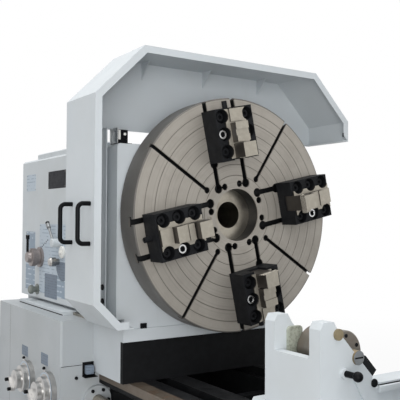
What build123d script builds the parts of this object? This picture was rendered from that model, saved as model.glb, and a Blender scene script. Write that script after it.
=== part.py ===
from build123d import *
import os
from math import cos, radians, sin

# A heavy horizontal lathe with a big four-jaw faceplate, a sheet-metal guard and an open roller steady.
# Millimetres. X runs along the spindle towards the tailstock, Y to the rear, Z up.
# The origin is on the floor, straight below the centre of the faceplate's front face.

os.makedirs("parts", exist_ok=True)

# Heights and bed
way_height = 625.0
centre_height = 855.0
axis_height = way_height + centre_height
way_thickness = 45.0
bed_left = -1640.0
bed_right = 2950.0
bed_half_width = 565.0
bed_wall_half_width = 500.0
bed_well_half_width = 190.0
outer_way_width = 152.0
inner_way_centre = 280.0
inner_way_width = 110.0
foot_height = 65.0
foot_slope = 45.0
foot_inset = 15.0
flange_drop = 60.0
overhang_rise = 40.0
rib_thickness = 60.0
rib_pitch = 575.0
ribs_left_of_origin = 2
ribs_in_all = 7

# Fits
face_gap = 0.3
running_gap = 0.4
slide_gap = 0.5

# Headstock and its riser
riser_left = -1600.0
riser_front = -145.0
riser_near = -600.0
riser_far = 470.0
riser_band = 63.0
recess_depth = 30.0
head_left = -1600.0
head_front = -156.0
head_near = -636.0
head_far = 500.0
head_bottom = axis_height - 531.0
head_top = axis_height + 358.0
plinth_height = 53.0
plinth_inset = 46.0
riser_top = head_bottom - plinth_height
head_chamfer = 12.0
cover_left = -1372.0
cover_right = -420.0
cover_height = 36.0
cover_inset = 22.0
cover_far = 440.0
end_cover_depth = 150.0
end_cover_near = -300.0
end_cover_far = 470.0
end_cover_bottom = axis_height - 470.0
end_cover_top = axis_height + 260.0

# Spindle and faceplate
spindle_radius = 110.0
spindle_bore_radius = 72.0
nose_radius = 139.9
nose_depth = 85.0
spindle_tail = 95.0
face_radius = 625.0
face_thickness = 140.0
face_hole_radius = 140.0
face_rim_chamfer = 4.0
face_turn = 12.2
jaw_count = 4
slot_width = 28.0
slot_head_width = 50.0
slot_depth = 52.0
slot_half_spacing = 91.5
slot_start = 158.0
bolt_entry_place = 290.0
single_slot_width = 20.0
single_slot_head_width = 34.0
single_slot_depth = 40.0
single_slot_start = 232.0
slot_run_out = 60.0
nose_bolt_radius = 18.0
nose_bolt_circle = 168.0
nose_bolt_angle = 17.0

# Jaws
jaw_inner = 295.0
jaw_outer = 565.0
jaw_half_width = 118.0
jaw_body_height = 118.0
jaw_channel_half = 42.0
jaw_channel_floor = 50.0
jaw_end_wall = 50.0
jaw_key_gap = 8.0
jaw_bolt_first = 344.0
jaw_bolt_pitch = 90.0
jaw_bolt_count = 3
jaw_bolt_side = 80.0
counterbore_radius = 35.0
counterbore_depth = 42.0
step_half_width = 66.0
step_block_half = 40.0
step_flange_top = 128.0
step_outer_top = 137.0
step_middle_top = 172.0
step_inner_top = 211.0
step_inner_end = 305.0
step_middle_start = 378.0
step_outer_start = 485.0
step_outer_end = 558.0
step_groove_width = 7.0
step_recess_place = 433.0
step_recess_width = 30.0
step_recess_depth = 6.0
jaw_screw_radius = 14.0
jaw_screw_height = 50.0
jaw_screw_length = 40.0
jaw_screw_square = 11.0

# Guard
guard_half_width = 830.0
guard_top = 832.0
guard_corner = 262.0
guard_depth = 350.0
guard_sheet = 6.0
guard_lip = 36.0
guard_lip_relief = 6.0
guard_bottom = -556.0
guard_bottom_corner = 126.0
guard_flange_end = 616.0
guard_window_near = 689.0
guard_window_top = 449.0
gusset_places = (-400.0, 0.0, 400.0)
gusset_size = 90.0
handle_radius = 11.0
handle_height = 190.0
handle_reach = 62.0
handle_centre_height = axis_height - 48.0
handle_places = (-267.0, -49.0)
rail_left = -695.0
rail_right = -170.0
near_rail_width = 50.0
near_rail_height = 13.7
far_rail_centre = 470.0
far_rail_width = 44.0
far_rail_foot = 12.0
far_rail_head = 18.0

# Headstock controls, each with its place along X and its height
drum_place = (-1241.0, axis_height - 270.0)
drum_radius = 55.0
range_lever_place = (-904.0, axis_height - 170.0)
range_lever_reach = 165.0
disc_place = (-862.0, axis_height - 223.0)
disc_radius = 36.0
shiny_knob_place = (-930.0, axis_height - 283.0)
shiny_knob_radius = 27.0
low_knob_place = (-1290.0, axis_height - 478.0)
low_knob_radius = 28.0

# Feed gearbox
box_left = -1585.0
box_right = -500.0
box_near = -789.0
box_top = riser_top + 13.0
box_split = way_height + 43.0
box_bottom = 180.0
box_edge = 10.0
lid_left = -1440.0
lid_right = -700.0
lid_height = 22.0
dial_places = (-980.0, -642.0)
dial_height = way_height - 105.0
dial_radius = 98.0
screw_near = -583.0
lead_screw_height = way_height - 155.0
lead_screw_radius = 32.0
feed_rod_height = way_height - 275.0
feed_rod_radius = 20.0
flange_radius = 80.0
flange_thickness = 24.0

# Open roller steady
steady_left = 940.0
steady_right = 1233.0
plate_thickness = 55.0
steady_half_width = 565.0
foot_top = way_height + 165.0
foot_reach = 62.0
foot_side_reach = 35.0
roller_offset = 391.0
roller_height = foot_top + 188.0
lug_top = roller_height + 132.0
lug_shoulder = 34.0
lug_inner = 482.0
slope_bottom_inner = 316.0
beam_top = foot_top + 88.0
slope_bottom_height = beam_top + 27.0
notch_floor = roller_height + 4.0
pocket_floor = foot_top + 95.0
pocket_wall = 40.0
roller_radius = 85.0
roller_left = 1012.0
roller_right = 1172.0
axle_radius = 25.0

# Carriage and tailstock, past the edge of the photograph
saddle_left = 1500.0
saddle_right = 2100.0
saddle_height = 90.0
saddle_overhang = 90.0
cross_slide_half = 150.0
cross_slide_height = 95.0
post_half = 110.0
post_height = 170.0
tail_left = saddle_right + 150.0
tail_right = tail_left + 610.0
tail_base_height = 150.0
tail_base_reach = 45.0
tail_half_width = 330.0
quill_radius = 95.0
quill_reach = 190.0
wheel_radius = 190.0
wheel_rim_radius = 16.0


def side_plane(x):
    """A plane across the lathe at x, with Y to its right and Z up."""
    return Plane.YZ.offset(x)


def jaw_plane(index, height=0.0):
    """A plane on the faceplate whose x runs outwards along one jaw and whose z is the spindle."""
    turn = radians(face_turn + 360.0 / jaw_count * index)
    return Plane(origin=(height, 0, axis_height), x_dir=(0, cos(turn), sin(turn)), z_dir=(1, 0, 0))


def near_plane(x, y, z):
    """A plane on a face that looks to the operator, with X to its right and its z towards the operator."""
    return Plane(origin=(x, y, z), x_dir=(1, 0, 0), z_dir=(0, -1, 0))


# Bed: two long beams, the ribs between them and the ground ways on top
way_base = way_height - way_thickness
foot_out = bed_half_width - foot_inset
web_bottom = foot_height + foot_slope
web_top = way_base - flange_drop


def bed_beam(side):
    """One long box beam of the bed, with its foot and the flange that carries the ways."""
    points = [
        (side * bed_well_half_width, 0),
        (side * foot_out, 0),
        (side * foot_out, foot_height),
        (side * bed_wall_half_width, web_bottom),
        (side * bed_wall_half_width, web_top),
        (side * bed_half_width, web_top + overhang_rise),
        (side * bed_half_width, way_base),
        (side * bed_well_half_width, way_base),
    ]
    with BuildPart() as beam:
        with BuildSketch(side_plane(bed_left)):
            with BuildLine():
                Polyline(*points, close=True)
            make_face()
        extrude(amount=bed_right - bed_left)
    return beam


bed_front_beam = bed_beam(-1)
bed_front_beam.part.label = "bed_front_beam"
export_step(bed_front_beam.part, "parts/bed_front_beam.step")

bed_rear_beam = bed_beam(1)
bed_rear_beam.part.label = "bed_rear_beam"
export_step(bed_rear_beam.part, "parts/bed_rear_beam.step")

rib_top = way_base - flange_drop
rib_reach = rib_thickness / 2
inner_ribs = [rib_pitch * (step - ribs_left_of_origin) for step in range(ribs_in_all)]
rib_places = [bed_left + rib_reach] + inner_ribs + [bed_right - rib_reach]
with BuildPart() as bed_ribs:
    for place in rib_places:
        with BuildSketch(side_plane(place - rib_reach)):
            with Locations((0, rib_top / 2)):
                Rectangle(2 * bed_well_half_width, rib_top)
        extrude(amount=rib_thickness)
bed_ribs.part.label = "bed_ribs"
export_step(bed_ribs.part, "parts/bed_ribs.step")

outer_way_centre = bed_half_width - outer_way_width / 2
with BuildPart() as bed_ways:
    with BuildSketch(side_plane(bed_left)):
        with Locations((-outer_way_centre, way_height - way_thickness / 2)):
            Rectangle(outer_way_width, way_thickness)
        with Locations((outer_way_centre, way_height - way_thickness / 2)):
            Rectangle(outer_way_width, way_thickness)
        with Locations((-inner_way_centre, way_height - way_thickness / 2)):
            Rectangle(inner_way_width, way_thickness)
        with Locations((inner_way_centre, way_height - way_thickness / 2)):
            Rectangle(inner_way_width, way_thickness)
    extrude(amount=bed_right - bed_left)
bed_ways.part.label = "bed_ways"
export_step(bed_ways.part, "parts/bed_ways.step")

# Riser under the headstock, with a dark panel in the recess of its front
recess_top = riser_top - riser_band
with BuildPart() as headstock_riser:
    with BuildSketch(Plane.XZ.offset(-riser_far)):
        with BuildLine():
            Polyline(
                (riser_left, way_height),
                (riser_front - recess_depth, way_height),
                (riser_front - recess_depth, recess_top),
                (riser_front, recess_top),
                (riser_front, riser_top),
                (riser_left, riser_top),
                close=True,
            )
        make_face()
    extrude(amount=riser_far - riser_near)
headstock_riser.part.label = "headstock_riser"
export_step(headstock_riser.part, "parts/headstock_riser.step")

panel_setback = 2.0
with BuildPart() as riser_front_panel:
    with BuildSketch(side_plane(riser_front - recess_depth)):
        with Locations(((riser_near + riser_far) / 2, (way_height + recess_top) / 2)):
            Rectangle(riser_far - riser_near, recess_top - way_height)
    extrude(amount=recess_depth - panel_setback)
riser_front_panel.part.label = "riser_front_panel"
export_step(riser_front_panel.part, "parts/riser_front_panel.step")

# Headstock housing, bored for the spindle
with BuildPart() as headstock_housing:
    with BuildSketch(side_plane(head_left)):
        with BuildLine():
            Polyline(
                (head_near + plinth_inset, riser_top),
                (head_far - plinth_inset, riser_top),
                (head_far - plinth_inset, head_bottom),
                (head_far, head_bottom),
                (head_far, head_top),
                (head_near, head_top),
                (head_near, head_bottom),
                (head_near + plinth_inset, head_bottom),
                close=True,
            )
        make_face()
    extrude(amount=head_front - head_left)
    chamfer(headstock_housing.edges().filter_by(Axis.X).group_by(Axis.Z)[-1], head_chamfer)
    with BuildSketch(side_plane(head_left)):
        with Locations((0, axis_height)):
            Circle(spindle_radius + running_gap)
    extrude(amount=head_front - head_left, mode=Mode.SUBTRACT)
headstock_housing.part.label = "headstock_housing"
export_step(headstock_housing.part, "parts/headstock_housing.step")

with BuildPart() as headstock_top_cover:
    with BuildSketch(Plane.XY.offset(head_top)):
        with Locations(((cover_left + cover_right) / 2, (head_near + cover_inset + cover_far) / 2)):
            Rectangle(cover_right - cover_left, cover_far - head_near - cover_inset)
    extrude(amount=cover_height)
    chamfer(headstock_top_cover.faces().sort_by(Axis.Z)[-1].edges(), head_chamfer / 2)
headstock_top_cover.part.label = "headstock_top_cover"
export_step(headstock_top_cover.part, "parts/headstock_top_cover.step")

# Cover of the change gears on the far left end, with a hole where the spindle comes through
with BuildPart() as headstock_end_cover:
    with BuildSketch(side_plane(head_left - end_cover_depth)):
        with Locations(((end_cover_near + end_cover_far) / 2, (end_cover_bottom + end_cover_top) / 2)):
            RectangleRounded(end_cover_far - end_cover_near, end_cover_top - end_cover_bottom, 60)
        with Locations((0, axis_height)):
            Circle(spindle_radius + 15, mode=Mode.SUBTRACT)
    extrude(amount=end_cover_depth)
    fillet(headstock_end_cover.faces().sort_by(Axis.X)[0].outer_wire().edges(), 18)
headstock_end_cover.part.label = "headstock_end_cover"
export_step(headstock_end_cover.part, "parts/headstock_end_cover.step")

# Small black interlock box on the headstock's top, seen through the guard's window
switch_left = -262.0
switch_near = -624.0
switch_length = 62.0
switch_width = 68.0
switch_height = 76.0
with BuildPart() as guard_switch:
    with BuildSketch(Plane.XY.offset(head_top)):
        with Locations((switch_left + switch_length / 2, switch_near + switch_width / 2 + 12)):
            Rectangle(switch_length, switch_width + 24)
    extrude(amount=8)
    with BuildSketch(Plane.XY.offset(head_top + 8)):
        with Locations((switch_left + switch_length / 2, switch_near + switch_width / 2)):
            Rectangle(switch_length, switch_width)
    extrude(amount=switch_height - 8)
    fillet(guard_switch.faces().sort_by(Axis.Z)[-1].edges(), 4)
    with BuildSketch(side_plane(switch_left + switch_length)):
        with Locations((switch_near + 0.68 * switch_width, head_top + 0.6 * switch_height)):
            Circle(13)
    extrude(amount=7)
guard_switch.part.label = "guard_switch"
export_step(guard_switch.part, "parts/guard_switch.step")

# Spindle: a long tube with the broad nose that carries the faceplate
with BuildPart() as spindle:
    with BuildSketch(Plane.XZ):
        with BuildLine():
            Polyline(
                (head_left - end_cover_depth - spindle_tail, axis_height + spindle_bore_radius),
                (-nose_depth, axis_height + spindle_bore_radius),
                (-nose_depth, axis_height + nose_radius),
                (-face_thickness, axis_height + nose_radius),
                (-face_thickness, axis_height + spindle_radius),
                (head_left - end_cover_depth - spindle_tail, axis_height + spindle_radius),
                close=True,
            )
        make_face()
    revolve(axis=Axis((0, 0, axis_height), (1, 0, 0)))
spindle.part.label = "spindle"
export_step(spindle.part, "parts/spindle.step")

# Faceplate with its pairs of T-slots for the jaws, its single T-slots and the nose bolt holes
slot_end = face_radius + slot_run_out


def t_slot(plane, start, side, throat, head, depth):
    """The cutter for a T-slot that runs from an entry hole at its start out through the rim."""
    middle = (start + slot_end) / 2
    with BuildPart() as cutter:
        with BuildSketch(plane):
            with Locations((middle, side)):
                Rectangle(slot_end - start, throat)
            with Locations((start, side)):
                Circle(head / 2)
        extrude(amount=-depth)
        with BuildSketch(plane.offset(-depth / 2)):
            with Locations((middle, side)):
                Rectangle(slot_end - start, head)
        extrude(amount=-depth / 2)
    return cutter.part


with BuildPart() as faceplate:
    with BuildSketch(side_plane(-face_thickness)):
        with Locations((0, axis_height)):
            Circle(face_radius)
    extrude(amount=face_thickness)
    chamfer(faceplate.faces().sort_by(Axis.X)[-1].edges(), face_rim_chamfer)
    for index in range(jaw_count):
        along_jaw = jaw_plane(index)
        for side in (-slot_half_spacing, slot_half_spacing):
            jaw_slot = t_slot(along_jaw, slot_start, side, slot_width, slot_head_width, slot_depth)
            add(jaw_slot, mode=Mode.SUBTRACT)
        with BuildSketch(along_jaw):
            with Locations((bolt_entry_place, slot_half_spacing)):
                Circle(slot_head_width / 2)
        extrude(amount=-slot_depth, mode=Mode.SUBTRACT)
        with BuildSketch(along_jaw):
            with PolarLocations(nose_bolt_circle, 2, -nose_bolt_angle, 4 * nose_bolt_angle):
                Circle(nose_bolt_radius)
        extrude(amount=-face_thickness, mode=Mode.SUBTRACT)
        single_size = (single_slot_width, single_slot_head_width, single_slot_depth)
        add(t_slot(jaw_plane(index + 0.5), single_slot_start, 0, *single_size), mode=Mode.SUBTRACT)
    with BuildSketch(side_plane(-face_thickness)):
        with Locations((0, axis_height)):
            Circle(face_hole_radius)
    extrude(amount=face_thickness, mode=Mode.SUBTRACT)
faceplate.part.label = "faceplate"
export_step(faceplate.part, "parts/faceplate.step")

# Four jaw units: a body with bolt holes and a channel closed at its outer end, and the stepped jaw in it
bolt_places = [jaw_bolt_first + jaw_bolt_pitch * step for step in range(jaw_bolt_count)]
bolt_spots = [(place, side * jaw_bolt_side) for place in bolt_places for side in (-1, 1)]
jaw_length = jaw_outer - jaw_inner
jaw_middle = (jaw_inner + jaw_outer) / 2
with BuildPart() as jaw_bodies:
    for index in range(jaw_count):
        with BuildSketch(jaw_plane(index)):
            with Locations((jaw_middle, 0)):
                Rectangle(jaw_length, 2 * jaw_half_width)
        extrude(amount=jaw_body_height)
        with BuildSketch(jaw_plane(index, jaw_channel_floor)):
            with Locations((jaw_middle - jaw_end_wall, 0)):
                Rectangle(jaw_length, 2 * jaw_channel_half)
        extrude(amount=jaw_body_height, mode=Mode.SUBTRACT)
        with BuildSketch(jaw_plane(index, jaw_body_height - counterbore_depth)):
            with Locations(*bolt_spots):
                Circle(counterbore_radius)
        extrude(amount=counterbore_depth, mode=Mode.SUBTRACT)
jaw_bodies.part.label = "jaw_bodies"
export_step(jaw_bodies.part, "parts/jaw_bodies.step")

key_end = jaw_outer - jaw_end_wall - jaw_key_gap

# The square-socketed ends of the screws that move the jaws
with BuildPart() as jaw_screws:
    for index in range(jaw_count):
        turn = radians(face_turn + 360.0 / jaw_count * index)
        screw_end = (jaw_screw_height, jaw_outer * cos(turn), axis_height + jaw_outer * sin(turn))
        screw_plane = Plane(origin=screw_end, x_dir=(1, 0, 0), z_dir=(0, cos(turn), sin(turn)))
        with BuildSketch(screw_plane):
            Circle(jaw_screw_radius)
        extrude(amount=jaw_screw_length)
        with BuildSketch(screw_plane.offset(jaw_screw_length / 3)):
            Rectangle(jaw_screw_square, jaw_screw_square)
        extrude(amount=jaw_screw_length, mode=Mode.SUBTRACT)
jaw_screws.part.label = "jaw_screws"
export_step(jaw_screws.part, "parts/jaw_screws.step")


def radial_block(start, end, half_width):
    """A rectangle on a jaw plane between two distances from the spindle's centre."""
    with Locations(((start + end) / 2, 0)):
        Rectangle(end - start, 2 * half_width)


def stepped_jaw(index):
    """The bright jaw with its key in the channel, its scalloped flange and its three steps."""
    with BuildPart() as jaw:
        with BuildSketch(jaw_plane(index, jaw_channel_floor + slide_gap)):
            radial_block(step_inner_end, key_end, jaw_channel_half - slide_gap)
        extrude(amount=jaw_body_height - jaw_channel_floor)
        with BuildSketch(jaw_plane(index, jaw_body_height + slide_gap)):
            radial_block(step_inner_end, step_outer_end, step_half_width)
            with Locations(*bolt_spots):
                Circle(counterbore_radius, mode=Mode.SUBTRACT)
        extrude(amount=step_flange_top - jaw_body_height - slide_gap)
        with BuildSketch(jaw_plane(index, step_flange_top)):
            radial_block(step_outer_start + step_groove_width, step_outer_end, step_block_half)
        extrude(amount=step_outer_top - step_flange_top)
        with BuildSketch(jaw_plane(index, step_flange_top)):
            radial_block(step_inner_end, step_middle_start, step_block_half)
            radial_block(step_middle_start + step_groove_width, step_outer_start, step_block_half)
        extrude(amount=step_middle_top - step_flange_top)
        with BuildSketch(jaw_plane(index, step_middle_top - step_recess_depth)):
            with Locations((step_recess_place, 0)):
                Rectangle(step_recess_width, 2 * step_half_width)
        extrude(amount=step_inner_top, mode=Mode.SUBTRACT)
        with BuildSketch(jaw_plane(index, step_middle_top)):
            radial_block(step_inner_end, step_middle_start, step_block_half)
        extrude(amount=step_inner_top - step_middle_top)
    return jaw


for index in range(jaw_count):
    jaw = stepped_jaw(index)
    jaw.part.label = f"stepped_jaw_{index + 1}"
    export_step(jaw.part, f"parts/stepped_jaw_{index + 1}.step")

# Guard: folded sheets round the faceplate, an open frame behind it and two pull handles
guard_shoulder = guard_top - guard_corner
guard_shoulder_half = guard_half_width - guard_corner
guard_outline = [
    (-guard_flange_end, guard_bottom),
    (-guard_half_width + guard_bottom_corner, guard_bottom),
    (-guard_half_width, guard_bottom + guard_bottom_corner),
    (-guard_half_width, guard_shoulder),
    (-guard_shoulder_half, guard_top),
    (guard_shoulder_half, guard_top),
    (guard_half_width, guard_shoulder),
    (guard_half_width, guard_window_top),
    (guard_half_width - guard_lip, guard_window_top),
]
near_corners = range(0, 4)
roof_corners = range(3, 7)
far_corners = range(6, 9)


def inset_corner(index, distance):
    """The corner of the guard's outline moved inwards by a distance, mitred between its two sides."""
    here = Vector(*guard_outline[index])
    before = Vector(*guard_outline[max(index - 1, 0)])
    after = Vector(*guard_outline[min(index + 1, len(guard_outline) - 1)])
    sides = [end - start for start, end in ((before, here), (here, after)) if (end - start).length > 0]
    inward = [Vector(side.Y, -side.X).normalized() for side in sides]
    total = inward[0] + inward[-1]
    moved = here + total * (distance / (1 + inward[0].dot(inward[-1])))
    return (moved.X, moved.Y)


def raised(points):
    """Points given from the spindle's height, lifted into the floor's frame."""
    return [(y, axis_height + z) for y, z in points]


def guard_strip(corners, width):
    """The closed strip between the guard's outline and the line inside it."""
    outer = [guard_outline[index] for index in corners]
    inner = [inset_corner(index, width) for index in corners]
    return raised(outer + inner[::-1])


def folded_sheet(corners, lip_outline):
    """One folded sheet of the guard with the inward lip along its front."""
    with BuildPart() as sheet:
        with BuildSketch(side_plane(-guard_depth)):
            with BuildLine():
                Polyline(*guard_strip(corners, guard_sheet), close=True)
            make_face()
        extrude(amount=guard_depth)
        with BuildSketch(side_plane(-guard_sheet)):
            with BuildLine():
                Polyline(*lip_outline, close=True)
            make_face()
        extrude(amount=guard_sheet)
    return sheet


# The near lip ends short of the headstock, because the guard slides back along its side
near_lip_end = head_near - guard_lip_relief
near_lip = [(min(y, near_lip_end), z) for y, z in guard_strip(near_corners, guard_lip)]
guard_near_side = folded_sheet(near_corners, near_lip)
guard_near_side.part.label = "guard_near_side"
export_step(guard_near_side.part, "parts/guard_near_side.step")

guard_roof = folded_sheet(roof_corners, guard_strip(roof_corners, guard_lip))
guard_roof.part.label = "guard_roof"
export_step(guard_roof.part, "parts/guard_roof.step")

guard_far_side = folded_sheet(far_corners, guard_strip(range(6, 8), guard_lip))
guard_far_side.part.label = "guard_far_side"
export_step(guard_far_side.part, "parts/guard_far_side.step")

# The frame closes the back of the guard round the window for the headstock, with gussets to the roof
frame_corners = [inset_corner(index, guard_sheet) for index in range(1, 7)]
frame_outline = raised(
    [(-guard_window_near, guard_bottom + guard_sheet)]
    + frame_corners
    + [(guard_half_width - guard_sheet, guard_window_top + guard_sheet)]
    + [(guard_half_width - guard_lip, guard_window_top + guard_sheet)]
    + [(guard_half_width - guard_lip, guard_window_top), (-guard_window_near, guard_window_top)]
)
roof_underside = axis_height + guard_top - guard_sheet
gusset_back = -guard_depth + guard_sheet
with BuildPart() as guard_back:
    with BuildSketch(side_plane(-guard_depth)):
        with BuildLine():
            Polyline(*frame_outline, close=True)
        make_face()
    extrude(amount=guard_sheet)
    for place in gusset_places:
        with BuildSketch(Plane.XZ.offset(-place)):
            with BuildLine():
                Polyline(
                    (gusset_back, roof_underside),
                    (gusset_back + gusset_size, roof_underside),
                    (gusset_back, roof_underside - gusset_size),
                    close=True,
                )
            make_face()
        extrude(amount=guard_sheet / 2, both=True)
guard_back.part.label = "guard_back"
export_step(guard_back.part, "parts/guard_back.step")

handle_bend = 26.0
with BuildPart() as guard_handles:
    for place in handle_places:
        with BuildLine() as handle_path:
            FilletPolyline(
                (place, -guard_half_width, handle_centre_height - handle_height / 2),
                (place, -guard_half_width - handle_reach, handle_centre_height - handle_height / 2),
                (place, -guard_half_width - handle_reach, handle_centre_height + handle_height / 2),
                (place, -guard_half_width, handle_centre_height + handle_height / 2),
                radius=handle_bend,
            )
        with BuildSketch(Plane(origin=handle_path.line @ 0, z_dir=handle_path.line % 0)):
            Circle(handle_radius)
        sweep(path=handle_path.line)
guard_handles.part.label = "guard_handles"
export_step(guard_handles.part, "parts/guard_handles.step")

# Two rails on the headstock carry the guard, one under its near flange and one under its back frame
near_rail_top = axis_height + guard_bottom - face_gap
far_rail_top = axis_height + guard_window_top - face_gap
plinth_side = head_near + plinth_inset
with BuildPart() as guard_rails:
    with BuildSketch(side_plane(rail_left)):
        with Locations((plinth_side - near_rail_width / 2, near_rail_top - near_rail_height / 2)):
            Rectangle(near_rail_width, near_rail_height)
        with Locations((far_rail_centre, head_top + far_rail_foot / 2)):
            Rectangle(far_rail_width, far_rail_foot)
        with Locations((far_rail_centre, (head_top + far_rail_top) / 2)):
            Rectangle(far_rail_width / 3, far_rail_top - head_top)
        with Locations((far_rail_centre, far_rail_top - far_rail_head / 2)):
            Rectangle(far_rail_width * 0.7, far_rail_head)
    extrude(amount=rail_right - rail_left)
guard_rails.part.label = "guard_rails"
export_step(guard_rails.part, "parts/guard_rails.step")

# Headstock controls on the operator's side
def turned_control(place, profile):
    """A turned knob on the near face; the profile lists (radius, depth out of the face) pairs."""
    x, z = place
    points = [(x, head_near)]
    points += [(x + radius, head_near - depth) for radius, depth in profile]
    points += [(x, head_near - profile[-1][1])]
    with BuildPart() as control:
        with BuildSketch(Plane(origin=(0, 0, z), x_dir=(1, 0, 0), z_dir=(0, 0, 1))):
            with BuildLine():
                Polyline(*points, close=True)
            make_face()
        revolve(axis=Axis((x, 0, z), (0, 1, 0)))
    return control


drum_profile = [
    (drum_radius + 8, face_gap),
    (drum_radius + 8, 14),
    (drum_radius - 6, 18),
    (drum_radius - 6, 34),
    (drum_radius, 36),
    (drum_radius, 66),
    (drum_radius - 20, 70),
    (drum_radius - 24, 92),
]
drum_rod_length = 114.0
drum_grip_length = 26.0
with BuildPart() as speed_drum:
    add(turned_control(drum_place, drum_profile).part)
    rod_plane = Plane(origin=(drum_place[0] - 12, head_near - 82, drum_place[1]))
    with BuildSketch(rod_plane):
        Circle(7)
    extrude(amount=drum_rod_length)
    with BuildSketch(rod_plane.offset(drum_rod_length)):
        Circle(11)
    extrude(amount=drum_grip_length)
speed_drum.part.label = "speed_drum"
export_step(speed_drum.part, "parts/speed_drum.step")

lever_x, lever_z = range_lever_place
lever_out = head_near - 44.0
lever_turn = 42.0
lever_direction = (-sin(radians(lever_turn)), 0, cos(radians(lever_turn)))
grip_length = 46.0
lever_plane = Plane(origin=(lever_x, lever_out, lever_z), x_dir=(0, 1, 0), z_dir=lever_direction)
with BuildPart() as range_lever:
    with BuildSketch(near_plane(lever_x, head_near - face_gap, lever_z)):
        Circle(26)
    extrude(amount=60)
    fillet(range_lever.faces().sort_by(Axis.Y)[0].edges(), 6)
    with BuildSketch(lever_plane):
        Circle(7)
    extrude(amount=range_lever_reach)
    with BuildSketch(lever_plane.offset(range_lever_reach - grip_length)):
        Circle(12)
    extrude(amount=grip_length)
range_lever.part.label = "range_lever"
export_step(range_lever.part, "parts/range_lever.step")

disc_profile = [(disc_radius, 0), (disc_radius, 12), (disc_radius - 3, 15), (10, 16), (10, 26)]
selector_disc = turned_control(disc_place, disc_profile)
selector_disc.part.label = "selector_disc"
export_step(selector_disc.part, "parts/selector_disc.step")

knob_r = shiny_knob_radius
shiny_profile = [(knob_r - 8, face_gap), (knob_r - 8, 20), (knob_r, 24), (knob_r, 52), (knob_r - 7, 62)]
shiny_knob = turned_control(shiny_knob_place, shiny_profile)
shiny_knob.part.label = "shiny_knob"
export_step(shiny_knob.part, "parts/shiny_knob.step")

low_r = low_knob_radius
low_profile = [(low_r + 6, face_gap), (low_r + 6, 6), (low_r - 10, 8), (low_r - 10, 30)]
low_profile += [(low_r, 34), (low_r, 50), (low_r - 8, 58)]
low_knob = turned_control(low_knob_place, low_profile)
low_knob.part.label = "low_knob"
export_step(low_knob.part, "parts/low_knob.step")

# Feed gearbox beside the riser: an upper box, a deeper lower box, a lid and two stepped dials
upper_rear = riser_near
with BuildPart() as gearbox_upper:
    with BuildSketch(Plane.XY.offset(box_split)):
        with Locations(((box_left + box_right) / 2, (box_near + upper_rear) / 2)):
            Rectangle(box_right - box_left, upper_rear - box_near)
    extrude(amount=box_top - box_split)
    chamfer(gearbox_upper.faces().sort_by(Axis.Y)[0].edges().filter_by(Axis.Z), box_edge)
gearbox_upper.part.label = "gearbox_upper"
export_step(gearbox_upper.part, "parts/gearbox_upper.step")

split_line = 3.0
with BuildPart() as gearbox_lower:
    with BuildSketch(side_plane(box_left)):
        with BuildLine():
            Polyline(
                (box_near, box_bottom),
                (-bed_wall_half_width, box_bottom),
                (-bed_wall_half_width, web_top),
                (-bed_half_width, web_top + overhang_rise),
                (-bed_half_width, way_height - face_gap),
                (upper_rear, way_height - face_gap),
                (upper_rear, box_split - split_line),
                (box_near, box_split - split_line),
                close=True,
            )
        make_face()
    extrude(amount=box_right - box_left)
    with BuildSketch(Plane.XY.offset(box_split - split_line)):
        with Locations(((box_left + box_right) / 2, (box_near + upper_rear) / 2)):
            Rectangle(box_right - box_left - 8, upper_rear - box_near - 8)
    extrude(amount=split_line)
gearbox_lower.part.label = "gearbox_lower"
export_step(gearbox_lower.part, "parts/gearbox_lower.step")

lid_near = -700.0
with BuildPart() as gearbox_lid:
    with BuildSketch(Plane.XY.offset(box_top)):
        with Locations(((lid_left + lid_right) / 2, (lid_near + upper_rear - 4) / 2)):
            Rectangle(lid_right - lid_left, upper_rear - 4 - lid_near)
    extrude(amount=lid_height)
    fillet(gearbox_lid.faces().sort_by(Axis.Z)[-1].edges(), 4)
gearbox_lid.part.label = "gearbox_lid"
export_step(gearbox_lid.part, "parts/gearbox_lid.step")


def feed_dial(x):
    """A stepped feed dial with a crank arm and two pin levers, on the near face of the gearbox."""
    profile = [
        (0, face_gap),
        (dial_radius, face_gap),
        (dial_radius, 26),
        (dial_radius - 8, 32),
        (dial_radius - 22, 32),
        (dial_radius - 22, 58),
        (dial_radius - 30, 64),
        (dial_radius - 44, 64),
        (dial_radius - 44, 92),
        (dial_radius - 52, 98),
        (0, 98),
    ]
    points = [(x + radius, box_near - depth) for radius, depth in profile]
    with BuildPart() as dial:
        with BuildSketch(Plane(origin=(0, 0, dial_height), x_dir=(1, 0, 0), z_dir=(0, 0, 1))):
            with BuildLine():
                Polyline(*points, close=True)
            make_face()
        revolve(axis=Axis((x, 0, dial_height), (0, 1, 0)))
        with BuildSketch(near_plane(x, box_near - 90, dial_height)):
            with Locations(Location((-30, -30), -45)):
                SlotOverall(96, 30)
        extrude(amount=22)
        pin_plane = Plane(origin=(x, box_near - 16, dial_height), x_dir=(0, 1, 0), z_dir=(-0.5, 0, 0.866))
        with BuildSketch(pin_plane.offset(dial_radius - 10)):
            Circle(5)
        extrude(amount=38)
    return dial


feed_dial_left = feed_dial(dial_places[0])
feed_dial_left.part.label = "feed_dial_left"
export_step(feed_dial_left.part, "parts/feed_dial_left.step")

feed_dial_right = feed_dial(dial_places[1])
feed_dial_right.part.label = "feed_dial_right"
export_step(feed_dial_right.part, "parts/feed_dial_right.step")

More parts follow.
